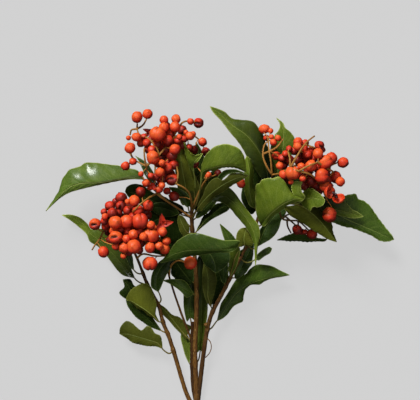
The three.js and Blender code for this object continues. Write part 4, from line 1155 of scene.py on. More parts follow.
    DrawnLeaf("west_low", OLIVE, stem=0.24, rise=(-3, 1), phase=2, wave=1.0, dim=(0.35, 0.45, 0.6),
              teeth=0.3, path=[
        (173.4, 350.5, 14.9), (169.5, 353.5, 15.5), (164, 350.5, 17), (158, 343.5, 19), (148, 340, 19),
        (138, 337, 18.5), (129, 334.5, 16), (119.5, 333.5, 12),
    ], left=[
        (158, 346.5), (150, 345.5), (140, 344.5), (132, 341.5), (125, 337),
    ], right=[
        (161.5, 342), (160, 336), (155, 333.5), (151.5, 328.5), (147, 326.5), (141.5, 330.5), (137.5, 328),
        (132, 323.5), (126, 321.3), (120.5, 327.5),
    ]),
    DrawnLeaf("middle_long", OLIVE, rise=(-1, -1), phase=1, wave=0.5, path=[
        (191.6, 341.5, 10.7), (186, 336, 9), (180, 329, 8), (173, 320, 8.5), (166, 312, 9),
        (157.5, 303, 10),
    ], left=[
        (187, 339), (181, 333), (175, 327), (169, 320), (162, 313),
    ], right=[
        (190.5, 327), (185, 323.5), (179, 317.5), (172, 315), (165, 308),
    ]),
    DrawnLeaf("low_green", FRESH, wave=0.3, dim=(0.5, 0.3), path=[
        (191.8, 367, 7.2), (188.5, 361, 5), (187, 351, 3.6), (185, 341, 3), (182, 331, 2.5),
    ], left=[(186, 356), (183, 346), (181, 337)], right=[(190, 352), (190, 343), (187, 335)]),
    DrawnLeaf("low_behind", FRESH, phase=2, wave=0.6, dim=(0.1, 0.2, 0.5, 0.75, 0.9, 0.95, 0.95), path=[
        (195.4, 364, 11.2), (198.5, 360, 7), (200.5, 348, 5), (201.5, 333, 5.5), (202, 315, 7),
        (202, 295, 9), (202.5, 273, 11), (203, 250, 12),
    ], left=[
        (198, 353), (197, 343), (196, 332), (195, 315), (194.5, 295), (194.5, 277), (198, 258),
    ], right=[
        (200.8, 352), (202.5, 343), (204.5, 332), (206.5, 318), (207.5, 302), (209.5, 280), (208.5, 260),
    ]),
    Leaf("middle_back", SHADED, half=(12, 12), tilt=(0, -5), phase=3, path=[
        (196.3, 284, 28.3), (190, 280, 20), (184, 273, 16), (178, 265, 14), (173, 255, 13),
    ]),
    Leaf("back_north", SHADED, half=(12, 12), tilt=(-10, 5), phase=1, path=[
        (191.9, 217, 44.3), (200, 204, 32), (208, 190, 25), (214, 177, 20), (218, 164, 17),
    ]),
    Leaf("back_east", SHADED, half=(15, 15), tilt=(-10, 5), phase=2, path=[
        (264, 199.5, 45.2), (272, 196, 34), (284, 187, 25), (298, 178, 19), (314, 172, 16),
    ]),
    Leaf("back_middle", SHADED, half=(14, 13), tilt=(0, -10), phase=2, path=[
        (192.8, 238, 38.5), (184, 240, 30), (174, 243, 25), (163, 248, 22), (151, 253, 21),
    ]),
    DrawnLeaf("middle_west", OLIVE, rise=(-2, -2), dim=(0.6, 0.3), wave=0.4, stem=0.2, path=[
        (192.2, 231, 40.4), (189.5, 233.5, 43), (186, 231, 45), (182.5, 224.5, 46), (178.5, 215, 45),
    ], left=[(186.5, 237), (181, 232), (178, 222)], right=[(189, 228), (186.5, 222), (182, 216)]),
    DrawnLeaf("east_shade", SHADED, stem=0.06, rise=(-1, -3), wave=0.6, twin="north_narrow", path=[
        (261, 208, 44.7), (256.5, 206, 40), (252, 198, 37), (251, 187, 36), (251.5, 174, 35),
        (251, 160, 34),
    ], left=[
        (252.5, 214), (246.5, 208), (242, 199), (243, 187), (248, 172),
    ], right=[
        (261, 201), (262, 189), (261, 176), (256, 165),
    ]),
    DrawnLeaf("curl_cup", FRESH, stem=0.66, rise=(3, 1), wave=0.2, dim=(0.5, 0.2, 0.0), twin="north_curl",
              path=[
        (191.7, 211, 45.7), (195, 196, 51), (195, 180, 60), (193, 166, 70), (196, 160, 75),
        (202.5, 153.5, 77),
    ], left=[
        (186.5, 156), (184.3, 142), (187.5, 149), (193, 155.5),
    ], right=[
        (193, 164), (197.5, 161.5), (200.5, 157.5),
    ]),
]


@dataclass
class Wood:
    """The woody stems in one piece, with leaf buds, slightly swollen joints and a slanted cut end.

    Attributes:
        bumps: How far the bark wanders in and out, as a share of the radius.
        swelling: How much thicker a limb is where a leaf joins it.
        reach: Over what length of limb it swells, in metres.
        sides: Corners of a limb's ring.
        rings: Rings from one place of a limb to the next.
        saw_bite: How many mm the cut lies in front of the butt's first place.
        slant: Degrees by which the cut is slanted.
    """

    bumps: float = 0.1
    swelling: float = 0.22
    reach: float = 2.6 * MM
    sides: int = 14
    rings: int = 9
    saw_bite: float = 4
    slant: float = 24

    FINE_BARK = 700  # bumps of the bark in a metre
    COARSE_BARK = 180
    BUD = ((0.6, 0.9), (1.6, 1.15), (2.6, 0.95), (3.4, 0.55), (4.0, 0.1))  # mm from the wood, and radius
    BUD_SIDES = 8
    BUD_TURN = Vector((0, 0.8, 0.3))  # what turns a bud from its leaf's stalk up along the wood
    # painted shade along the butt, from its cut end up
    BUTT_DIMS = (0.1, 0.1, 0.3)
    BUTT = [(198.6, 438, 4.6, 5.4), (198, 420, 4.9, 5.1), (197, 404, 5.4, 4.7), (196.5, 393, 6.5, 3.4)]
    # Each limb: its places with radii, and its painted shade from its foot to its end.
    LIMBS = [
        ([(197, 400, 5.5, 3.0), (195.8, 378, 8.5, 2.8), (195, 350, 14, 2.75), (196.3, 318, 21, 2.6),
          (196.5, 290, 27, 2.5), (195.3, 262, 33, 2.3), (192.6, 236, 39, 2.25), (191.9, 220, 43.5, 2.2),
          (191.6, 206, 46.5, 1.5)], (0.1, 0.0, 0.5)),
        ([(196, 402, 5, 2.4), (193.3, 388, 5, 2.3), (192.2, 366, 7.2, 2.3), (192.2, 345, 10, 2.3),
          (192.6, 322, 14, 1.9)], (0.7, 0.8, 0.7)),
        ([(191.5, 340, 11, 1.4), (186, 326, 17, 1.3), (179, 307, 26, 1.2), (172, 286, 31, 1.1),
          (164, 258, 37, 0.8)], (0.1, 0.3, 0.9)),
        ([(198, 400, 5.5, 2.7), (200.6, 378, 8.5, 2.6), (204, 350, 13, 2.6), (207.2, 330, 17.3, 2.5),
          (212, 313, 22, 2.4), (221, 296, 27, 2.3), (229, 280, 31, 2.2), (238, 262, 36, 2.1),
          (246, 247, 40, 1.9), (253, 234, 42.5, 1.8), (258, 218, 44, 1.7), (263, 202, 45, 1.6),
          (270, 188, 46, 1.3)], (0.75, 0.35, 0.5)),
        ([(208, 328, 17, 2.3), (205.4, 324, 22, 2.0)], (0.4, 0.2, 0.0)),
        ([(197.5, 414, 5, 2.7), (188, 397, 5.5, 2.4), (183, 383, 8, 2.4), (176, 359, 13, 2.4),
          (169, 337, 18.5, 2.3), (163, 322, 22, 2.2), (158.3, 305, 26, 2.1), (149, 288, 30.5, 1.9),
          (142.5, 272, 34, 1.9), (137, 258, 37, 1.5), (131, 246, 39, 1.1)], (0.0, 0.1, 0.9)),
        ([(191.8, 218, 44, 1.5), (176, 207, 43, 1.3), (163, 198, 42, 1.2), (155, 187, 42, 1.0)],
         (0.2, 0.0, 0.0)),
        ([(259, 214, 44.3, 1.5), (272, 209, 46, 1.3), (285, 204, 47, 1.2), (297, 202, 49, 1.1),
          (306, 201, 50, 0.9)], (0.4, 0.6, 0.5)),
        ([(302, 201.6, 49.6, 1.0), (312, 211, 37, 1.0), (321, 224, 27, 0.9), (328, 236, 21, 0.8)],
         (0.6, 0.6, 0.6)),
        ([(207, 338, 16, 0.7), (210.3, 342, 17, 0.5), (211.3, 347.5, 17, 0.5), (209.5, 353, 15, 0.5),
          (205.5, 357.5, 12.5, 0.6)], (0.2, 0.0, 0.2)),
    ]

    def add_limb(self, mesh: BMesh, places: list[Girth], dims: tuple[float, ...],
                 joints: list[Vector]) -> None:
        """Adds a limb with bumpy bark that swells at the leaves' joints.

        Args:
            mesh: The wood's mesh.
            places: Places along the limb, with its radius at each.
            dims: Painted shade: how much darker it is painted in the shade of leaves, from its foot to its
                end.
            joints: Where leaves join the wood.
        """
        dim = mesh.verts.layers.float["dim"]
        route = Route.through(places)
        steps = self.rings * (len(places) - 1)
        points = [route.point(i / steps) for i in range(steps + 1)]
        radii = []
        for i, point in enumerate(points):
            place = i / steps * (len(places) - 1)
            before = min(int(place), len(places) - 2)
            radius = mix(places[before][3], places[before + 1][3], place - before) * MM
            near = min((point - joint).length for joint in joints)
            radii.append(radius * (1 + self.swelling * bell(near, self.reach)))
        for vert in add_tube(mesh, points, radii, self.sides):
            nearest = min(range(steps + 1), key=lambda i: (points[i] - vert.co).length)
            middle = points[nearest]
            # painted shade along the limb
            vert[dim] = trend(dims, nearest / steps)
            rough = noise.noise(vert.co * self.FINE_BARK) + 0.5 * noise.noise(vert.co * self.COARSE_BARK)
            vert.co = middle + (vert.co - middle) * (1 + self.bumps * rough)

    def add_bud(self, mesh: BMesh, leaf: Leaf) -> None:
        """Adds the pointed bud in the corner between a leaf's stalk and the wood."""
        route = Route.through(leaf.path)
        foot = route.point(0.0)
        ahead = (route.direction(0.02) + self.BUD_TURN).normalized()
        points = [foot + ahead * reach * MM for reach, _ in self.BUD]
        add_tube(mesh, points, [radius * MM for _, radius in self.BUD], self.BUD_SIDES)

    def build(self, bark: Material, cut: Material, leaves: list[Leaf]) -> None:
        """Makes the wood.

        Args:
            bark: The bark's material.
            cut: The cut end's material.
            leaves: The leaves that it carries.
        """
        joints = [at(*leaf.path[0]) for leaf in leaves]
        mesh = bmesh.new()
        mesh.verts.layers.float.new("dim")
        self.add_limb(mesh, self.BUTT, self.BUTT_DIMS, joints)
        for vert in mesh.verts:
            vert.co.z = max(vert.co.z, 0.0)
        turn = math.radians(self.slant)
        inwards = Vector((-math.sin(turn), math.cos(turn), 0))
        end = at(*self.BUTT[0][:3]) + Vector((0, self.saw_bite * MM, 0))
        everything = [*mesh.verts, *mesh.edges, *mesh.faces]
        bmesh.ops.bisect_plane(mesh, geom=everything, plane_co=end, plane_no=inwards, clear_inner=True)
        close(mesh)
        for face in mesh.faces:
            face.material_index = int(face.normal.dot(inwards) < -0.98 and len(face.verts) > 4)
        for places, dims in self.LIMBS:
            self.add_limb(mesh, places, dims, joints)
        for leaf in leaves:
            if not leaf.twin:
                self.add_bud(mesh, leaf)
        close(mesh)
        add_piece("wood", mesh, [bark, cut], ["woody_stem"])


class Kind(Enum):
    """How a capsule looks."""

    ROUND = "round"
    LOBED = "lobed"
    SPLIT = "split"
    OPEN = "open"
    STAR = "star"


@dataclass
class Capsule:
    """One capsule of a spray.

    Attributes:
        centre: Its middle, in metres.
        radius: Its radius in metres.
        kind: How it looks.
        ripeness_and_shade: From 0, orange, to 1 and more, deep red; partly its own ripeness, partly painted
            shade.
        stretch: How long it is for its width.
    """

    centre: Vector
    radius: float
    kind: Kind
    ripeness_and_shade: float
    stretch: float = 1.0

    RINGS = 14
    SEGMENTS = 24
    LOOSE = 0.5  # radians that a seam is turned at random
    GROOVES = {Kind.ROUND: (0.06, 0.14), Kind.LOBED: (0.14, 0.2), Kind.SPLIT: (0.8, 0.2)}  # depth, width
    SEAMS = {Kind.ROUND: 0.2, Kind.LOBED: 0.5, Kind.SPLIT: 2.2}  # how dark the groove is painted: painted shade in its crease, and in a split in its open mouth
    LUMPS = ((0.09, 1.7), (0.02, 6))  # height of the large and small lumps, and how close they are
    STYLE = 0.12  # height of the style's remnant at a round capsule's tip
    DIMPLE = 0.04  # depth of the hollow round it
    NECK = 0.08  # height of the neck at the stalk
    LOPSIDED = 0.24  # how far a split lies from the middle
    MOUTH = 0.85  # half the length of a split
    LOBED_WIDTH = 1.12
    BLOTCH = 0.18  # how much the ripeness of one capsule varies
    SHADE_REDDENING = 0.8  # painted shade: how much redder it is painted where less light falls
    LIP = 0.4  # how much redder a split capsule's lower lip is
    VALVE_SIZE = 0.86  # radius of an open capsule's valve, as a share of the capsule's
    VALVE_WALL = 0.13  # thickness of a valve, as a share of the radius
    VALVE_RIM = 0.15  # width of its dark rim, as a share of half its width
    VALVE_LEAN = 48  # degrees that the valves of an open capsule lean out
    VALVE_FOOT = 0.8  # how far below the middle they begin, as a share of their size
    VALVE_GRID = (10, 12)  # faces across a valve and along it
    INSIDE = 0.75  # ripeness of a valve's inner face
    STAR_HEADINGS = (0.35, -1.07, 2.6)  # radians round the axis at which a star's valves point
    STAR_REACH = 2.2  # length of a star's valve, as a share of the radius
    STAR_HALF_WIDTH = 0.72
    SEEDS = 7
    SEED_SIZES = (0.2, 0.3)  # half widths of a seed, as shares of the radius
    SEED_NEST = 0.34  # how far from their middle the seeds lie

    def stance(self, axis: Vector, dice: random.Random) -> tuple[Vector, Vector]:
        """Turns the capsule round its axis so that its seam is mostly in sight from above.

        Args:
            axis: Direction from the stalk to the capsule's tip.
            dice: The spray's own random numbers.

        Returns:
            The direction along the seam and the one across it.
        """
        along = UP - axis * UP.dot(axis)
        if along.length < 0.3:
            along = Vector((0.25, 1, 0)) - axis * (0.25 * axis.x + axis.y)
        loose = 0.0 if self.kind is Kind.STAR else dice.uniform(-self.LOOSE, self.LOOSE)
        along = Matrix.Rotation(loose, 3, axis) @ along.normalized()
        return along, axis.cross(along)

    def groove(self, way: Vector, off_seam: float) -> float:
        """Gives how much of its full depth the groove has at a point.

        Args:
            way: Direction of the point: along the seam, across it and towards the tip.
            off_seam: How far the point lies from the seam.

        Returns:
            The share.
        """
        share = bell(off_seam, self.GROOVES[self.kind][1])
        if self.kind is Kind.LOBED:
            return share * (0.8 + 0.4 * max(0.0, way.z))
        share *= min(1, 1.6 * math.hypot(way.x, way.y))
        if self.kind is Kind.SPLIT:
            share *= max(0.0, 1 - (way.z / self.MOUTH) ** 2) * max(0.0, min(1.0, 0.7 + way.x))
        return share

    def ball(self, mesh: BMesh, axis: Vector, dice: random.Random) -> None:
        """Adds a closed capsule: two swollen valves with a seam, and the style's remnant at the tip."""
        reddening, seam = mesh.verts.layers.float["ripeness_and_shade"], mesh.verts.layers.float["seam"]
        seed = Vector([dice.uniform(-50, 50) for _ in range(3)])
        along, sideways = self.stance(axis, dice)
        size = Vector((1.04, dice.uniform(0.94, 1.0), dice.uniform(0.96, 1.06) * self.stretch))
        if self.kind is Kind.LOBED:
            size.y *= self.LOBED_WIDTH
        shift = self.LOPSIDED if self.kind is Kind.SPLIT else 0.0
        counts = {"u_segments": self.SEGMENTS, "v_segments": self.RINGS}
        for vert in bmesh.ops.create_uvsphere(mesh, **counts, radius=1)["verts"]:
            way = vert.co.normalized()
            wander = (0.12 - 0.2 * shift) * noise.noise(way * 2 + seed)
            groove = self.groove(way, abs(way.y - shift + wander))
            swell = 1 - self.GROOVES[self.kind][0] * groove
            for height, spacing in self.LUMPS:
                swell += height * noise.noise(way * spacing + seed)
            if self.kind is Kind.ROUND:
                swell += self.STYLE * bell(1 - way.z, 0.02) - self.DIMPLE * bell(1 - way.z, 0.15)
            swell += self.NECK * bell(1 + way.z, 0.03)
            shaped = Vector(a * b for a, b in zip(way, size)) * swell * self.radius
            vert.co = self.centre + along * shaped.x + sideways * shaped.y + axis * shaped.z
            # painted shade: redder on the side that faces away from the KEY light
            facing = (along * way.x + sideways * way.y + axis * way.z).dot(KEY.normalized())
            vert[reddening] = self.ripeness_and_shade + self.BLOTCH * noise.noise(way * 1.3 + seed)
            vert[reddening] += self.SHADE_REDDENING * (0.5 - facing)
            if self.kind is Kind.SPLIT and way.y > shift:
                vert[reddening] += self.LIP
            tip, foot = bell(1 - way.z, 0.006) * 0.8, bell(1 + way.z, 0.02) * 0.6
            # the groove's painted shade, and the dark tip and foot
            vert[seam] = max(groove * self.SEAMS[self.kind], tip, foot)

    def add_valve(self, mesh: BMesh, shape: Callable[[float, float], Vector],
                  ripeness_and_shade: float) -> list[Vert]:
        """Adds a thin shell.

        Args:
            mesh: The mesh that grows.
            shape: Gives its point for a place across, from -1 to 1, and a share of its length.
            ripeness_and_shade: Its colour.

        Returns:
            Its vertices.
        """
        reddening, seam = mesh.verts.layers.float["ripeness_and_shade"], mesh.verts.layers.float["seam"]
        across, along = self.VALVE_GRID
        grid = bmesh.ops.create_grid(mesh, x_segments=across, y_segments=along, size=1)["verts"]
        for vert in grid:
            vert[reddening] = ripeness_and_shade
            rim = max(0.0, max(abs(vert.co.x), vert.co.y) - (1 - self.VALVE_RIM)) / self.VALVE_RIM
            vert[seam] = 0.4 * rim
            vert.co = shape(vert.co.x, (vert.co.y + 1) / 2)
        faces = list({face for vert in grid for face in vert.link_faces})
        shell = bmesh.ops.solidify(mesh, geom=faces, thickness=self.VALVE_WALL * self.radius)["geom"]
        return [*grid, *(part for part in shell if isinstance(part, Vert))]

    def valves(self, mesh: BMesh, axis: Vector, dice: random.Random) -> None:
        """Adds the two hollow valves of an open capsule, redder inside."""
        reddening = mesh.verts.layers.float["ripeness_and_shade"]
        _, sideways = self.stance(axis, dice)
        lean = math.radians(self.VALVE_LEAN)
        size = self.radius * self.VALVE_SIZE
        for out in (sideways, -sideways):
            over = axis.cross(out)

            def shape(u: float, far: float) -> Vector:
                """Gives a point of a half bowl that leans out from its foot."""
                fall, spin = mix(math.pi - 0.15, 0.12, far), u * math.pi / 2 * 0.93
                wide, high = math.sin(fall), math.cos(fall) + 1
                leant = wide * math.cos(spin) * math.cos(lean) + high * math.sin(lean)
                height = high * math.cos(lean) - wide * math.cos(spin) * math.sin(lean) - self.VALVE_FOOT
                return self.centre + (out * leant + over * wide * math.sin(spin) + axis * height) * size

            heart = self.centre + (out * math.sin(lean) + axis * (math.cos(lean) - self.VALVE_FOOT)) * size
            valve = self.add_valve(mesh, shape, self.ripeness_and_shade)
            inner = min((vert.co - heart).length for vert in valve) + self.VALVE_WALL * self.radius / 2
            for vert in valve:
                if (vert.co - heart).length < inner:
                    vert[reddening] = self.INSIDE

    def star(self, mesh: BMesh, axis: Vector, dice: random.Random) -> None:
        """Adds the three pointed valves of a capsule that has opened wide."""
        along, sideways = self.stance(axis, dice)
        for heading in self.STAR_HEADINGS:
            out = along * math.cos(heading) + sideways * math.sin(heading)
            over = axis.cross(out)

            def shape(u: float, far: float) -> Vector:
                """Gives a point of a pointed valve that bends up at its tip and margins."""
                half = self.STAR_HALF_WIDTH * (1.01 - far**2)
                height = 0.5 * far**2 + 0.5 * u**2 * (1 - far) - 0.2
                reach = far * self.STAR_REACH
                return self.centre + (out * reach + over * u * half + axis * height) * self.radius

            self.add_valve(mesh, shape, self.ripeness_and_shade)

    def seeds(self, mesh: BMesh, axis: Vector, dice: random.Random) -> None:
        """Adds the sticky angular seeds that an open capsule shows."""
        for _ in range(self.SEEDS):
            loose = Vector([dice.uniform(-self.SEED_NEST, self.SEED_NEST) for _ in range(3)])
            middle = self.centre + (loose - 0.12 * axis) * self.radius
            stretch = Vector([dice.uniform(*self.SEED_SIZES) for _ in range(3)]) * self.radius
            for vert in bmesh.ops.create_icosphere(mesh, subdivisions=1, radius=1)["verts"]:
                vert.co = middle + Vector(a * b for a, b in zip(vert.co, stretch))

    def build(self, skin: BMesh, seeds: BMesh, axis: Vector, dice: random.Random) -> None:
        """Adds the capsule to its spray's meshes.

        Args:
            skin: The mesh of the spray's capsules.
            seeds: The mesh of its seeds.
            axis: Direction from the stalk to the capsule's tip.
            dice: The spray's own random numbers.
        """
        if self.kind in self.GROOVES:
            self.ball(skin, axis, dice)
        elif self.kind is Kind.STAR:
            self.star(skin, axis, dice)
        else:
            self.valves(skin, axis, dice)
            self.seeds(seeds, axis, dice)


@dataclass
class Spray:
    """A spray of capsules on forked stalks.

    Attributes:
        name: The spray's name, which is its CAD node's too.
        dome: The dome that the front capsules lie on: px and py of its middle, half width and half length in
            pixels, height above the table and bulge in mm.
        shoots: The spray's stalks.
        fruit: Front capsules: px, py, radius in px, tier below the dome, the kind where it isn't round, the
            direction of its axis where that isn't its stalk's, and how long it is for its width.
        back: Capsules behind: px, py, radius in px, height above the table in mm.
        bare: Stalks that bear nothing along them.
        reddening: How much redder its capsules are than those of other sprays.
        dim: Painted shade: how much darker its stalks are painted.
    """

    name: str
    dome: tuple[float, float, float, float, float, float]
    shoots: list[list[Place]]
    fruit: list[tuple]
    back: list[tuple] = field(default_factory=list)
    bare: list[list[Place]] = field(default_factory=list)
    reddening: float = 0
    dim: float = 0

    TIER = 13  # mm from one tier down to the next
    TOUCH = 0.88  # how near two capsules may come, as a share of their radii
    SHOOT_RADII = (1.2, 0.8)  # mm, at the root and at the end
    STALK_RADII = (0.55, 0.5, 0.5, 0.55, 0.8)  # mm, from the fork to the capsule, for two rings each
    SHOOT_RINGS = 14
    SHOOT_SIDES = 8
    STALK_SIDES = 6
    SHOOT_COLOUR = 0.25  # place between the stalk finish's two colours
    STALK_COLOUR = 0.35  # the same where a capsule's stalk leaves its shoot
    FORKS = [share / 100 for share in range(28, 101, 8)]  # where capsules' stalks may leave a shoot
    BEND = 0.13  # how far a capsule's stalk bends aside, as a share of its length
    STALK_END = 0.92  # how far below the capsule's middle its stalk ends, as a share of the radius
    BACK_TIER = 1.4
    RIPEST = 0.45  # the most that chance adds to a capsule's ripeness
    DEEPER = 0.8  # painted shade: how much redder and darker each tier below the dome is painted
    DEEPEST_TIER = 1.5  # from here on they get no more painted shade

    def heights(self) -> list[tuple]:
        """Moves capsules down until none sinks far into another.

        Returns:
            Each capsule as (px, py, radius in px, z in mm, tier, details).
        """
        middle_x, middle_y, half_x, half_y, base, bulge = self.dome
        wanted = []
        for px, py, size, tier, *details in self.fruit:
            flat = ((px - middle_x) / half_x) ** 2 + ((py - middle_y) / half_y) ** 2
            z = base + bulge * math.sqrt(max(0.1, 1 - flat)) - self.TIER * tier
            wanted.append((px, py, size, z, tier, details))
        wanted += [(px, py, size, z, self.BACK_TIER, []) for px, py, size, z in self.back]
        settled = []
        for px, py, size, z, tier, details in sorted(wanted, key=lambda one: -one[3]):
            for _ in range(len(settled)):
                for near_x, near_y, near_size, near_z, _, _ in settled:
                    gap = math.hypot(px - near_x, py - near_y)
                    touch = self.TOUCH * (size + near_size)
                    need = PIXEL * math.sqrt(max(0.0, touch**2 - gap**2))
                    if abs(z - near_z) < need:
                        z = near_z - need
            settled.append((px, py, size, max(z, size * PIXEL + 0.2), tier, details))
        return settled

    def build(self, skin: Material, seed: Material, stalk: Material) -> None:
        """Makes the spray's capsules, seeds and stalks.

        Args:
            skin: The capsules' material.
            seed: The seeds' material.
            stalk: The stalks' material.
        """
        dice = random.Random(self.name)
        capsules, seeds, stalks = bmesh.new(), bmesh.new(), bmesh.new()
        capsules.verts.layers.float.new("ripeness_and_shade")
        capsules.verts.layers.float.new("seam")
        share, dim = stalks.verts.layers.float.new("share"), stalks.verts.layers.float.new("dim")
        forks = []
        for places in (*self.shoots, *self.bare):
            route = Route.through(places)
            shares = [i / self.SHOOT_RINGS for i in range(self.SHOOT_RINGS + 1)]
            points = [route.point(along) for along in shares]
            radii = [mix(*self.SHOOT_RADII, along) * MM for along in shares]
            for vert in add_tube(stalks, points, radii, self.SHOOT_SIDES):
                vert[share] = self.SHOOT_COLOUR
            if places in self.shoots:
                forks += [route.point(along) for along in self.FORKS]
        for px, py, size, z, tier, details in self.heights():
            centre = at(px, py, z)
            fork = min(forks, key=lambda point: (point - centre).length)
            kind = details[0] if details else Kind.ROUND
            axis = Vector(details[1]).normalized() if len(details) > 1 else (centre - fork).normalized()
            ripeness_and_shade = dice.uniform(0.0, self.RIPEST) + self.reddening
            # painted shade: capsules in deeper tiers are painted redder and darker
            ripeness_and_shade += self.DEEPER * max(0.0, min(tier, self.DEEPEST_TIER))
            stretch = details[2] if len(details) > 2 else 1.0
            radius = size * PIXEL * MM
            Capsule(centre, radius, kind, ripeness_and_shade, stretch).build(capsules, seeds, axis, dice)
            foot = centre - axis * radius * self.STALK_END
            loose = Vector([dice.uniform(-1, 1) for _ in range(3)]) * (foot - fork).length * self.BEND
            line = Route([fork, fork.lerp(foot, 0.5) + loose, foot])
            radii = [radius * MM for radius in self.STALK_RADII for _ in range(2)][:-1]
            points = [line.point(i / (len(radii) - 1)) for i in range(len(radii))]
            for vert in add_tube(stalks, points, radii, self.STALK_SIDES):
                walked = (vert.co - fork).length / max((foot - fork).length, MM)
                vert[share] = mix(self.STALK_COLOUR, 1, walked)
        close(stalks)
        # painted shade on all of the spray's stalks
        for vert in stalks.verts:
            vert[dim] = self.dim
        bmesh.ops.recalc_face_normals(capsules, faces=capsules.faces)
        add_piece(f"{self.name}_capsules", capsules, [skin], [self.name])
        add_piece(f"{self.name}_stalks", stalks, [stalk], [self.name])
        if seeds.verts:
            add_piece(f"{self.name}_seeds", seeds, [seed], [self.name])
        else:
            seeds.free()


ROUND, LOBED, SPLIT, OPEN, STAR = Kind
LEVEL_SEAM = (1, 0.1, 0.3)  # axis of a capsule whose seam runs across the photograph
UPRIGHT_SEAM = (0.1, 1, 0.4)  # axis of one whose seam runs up it

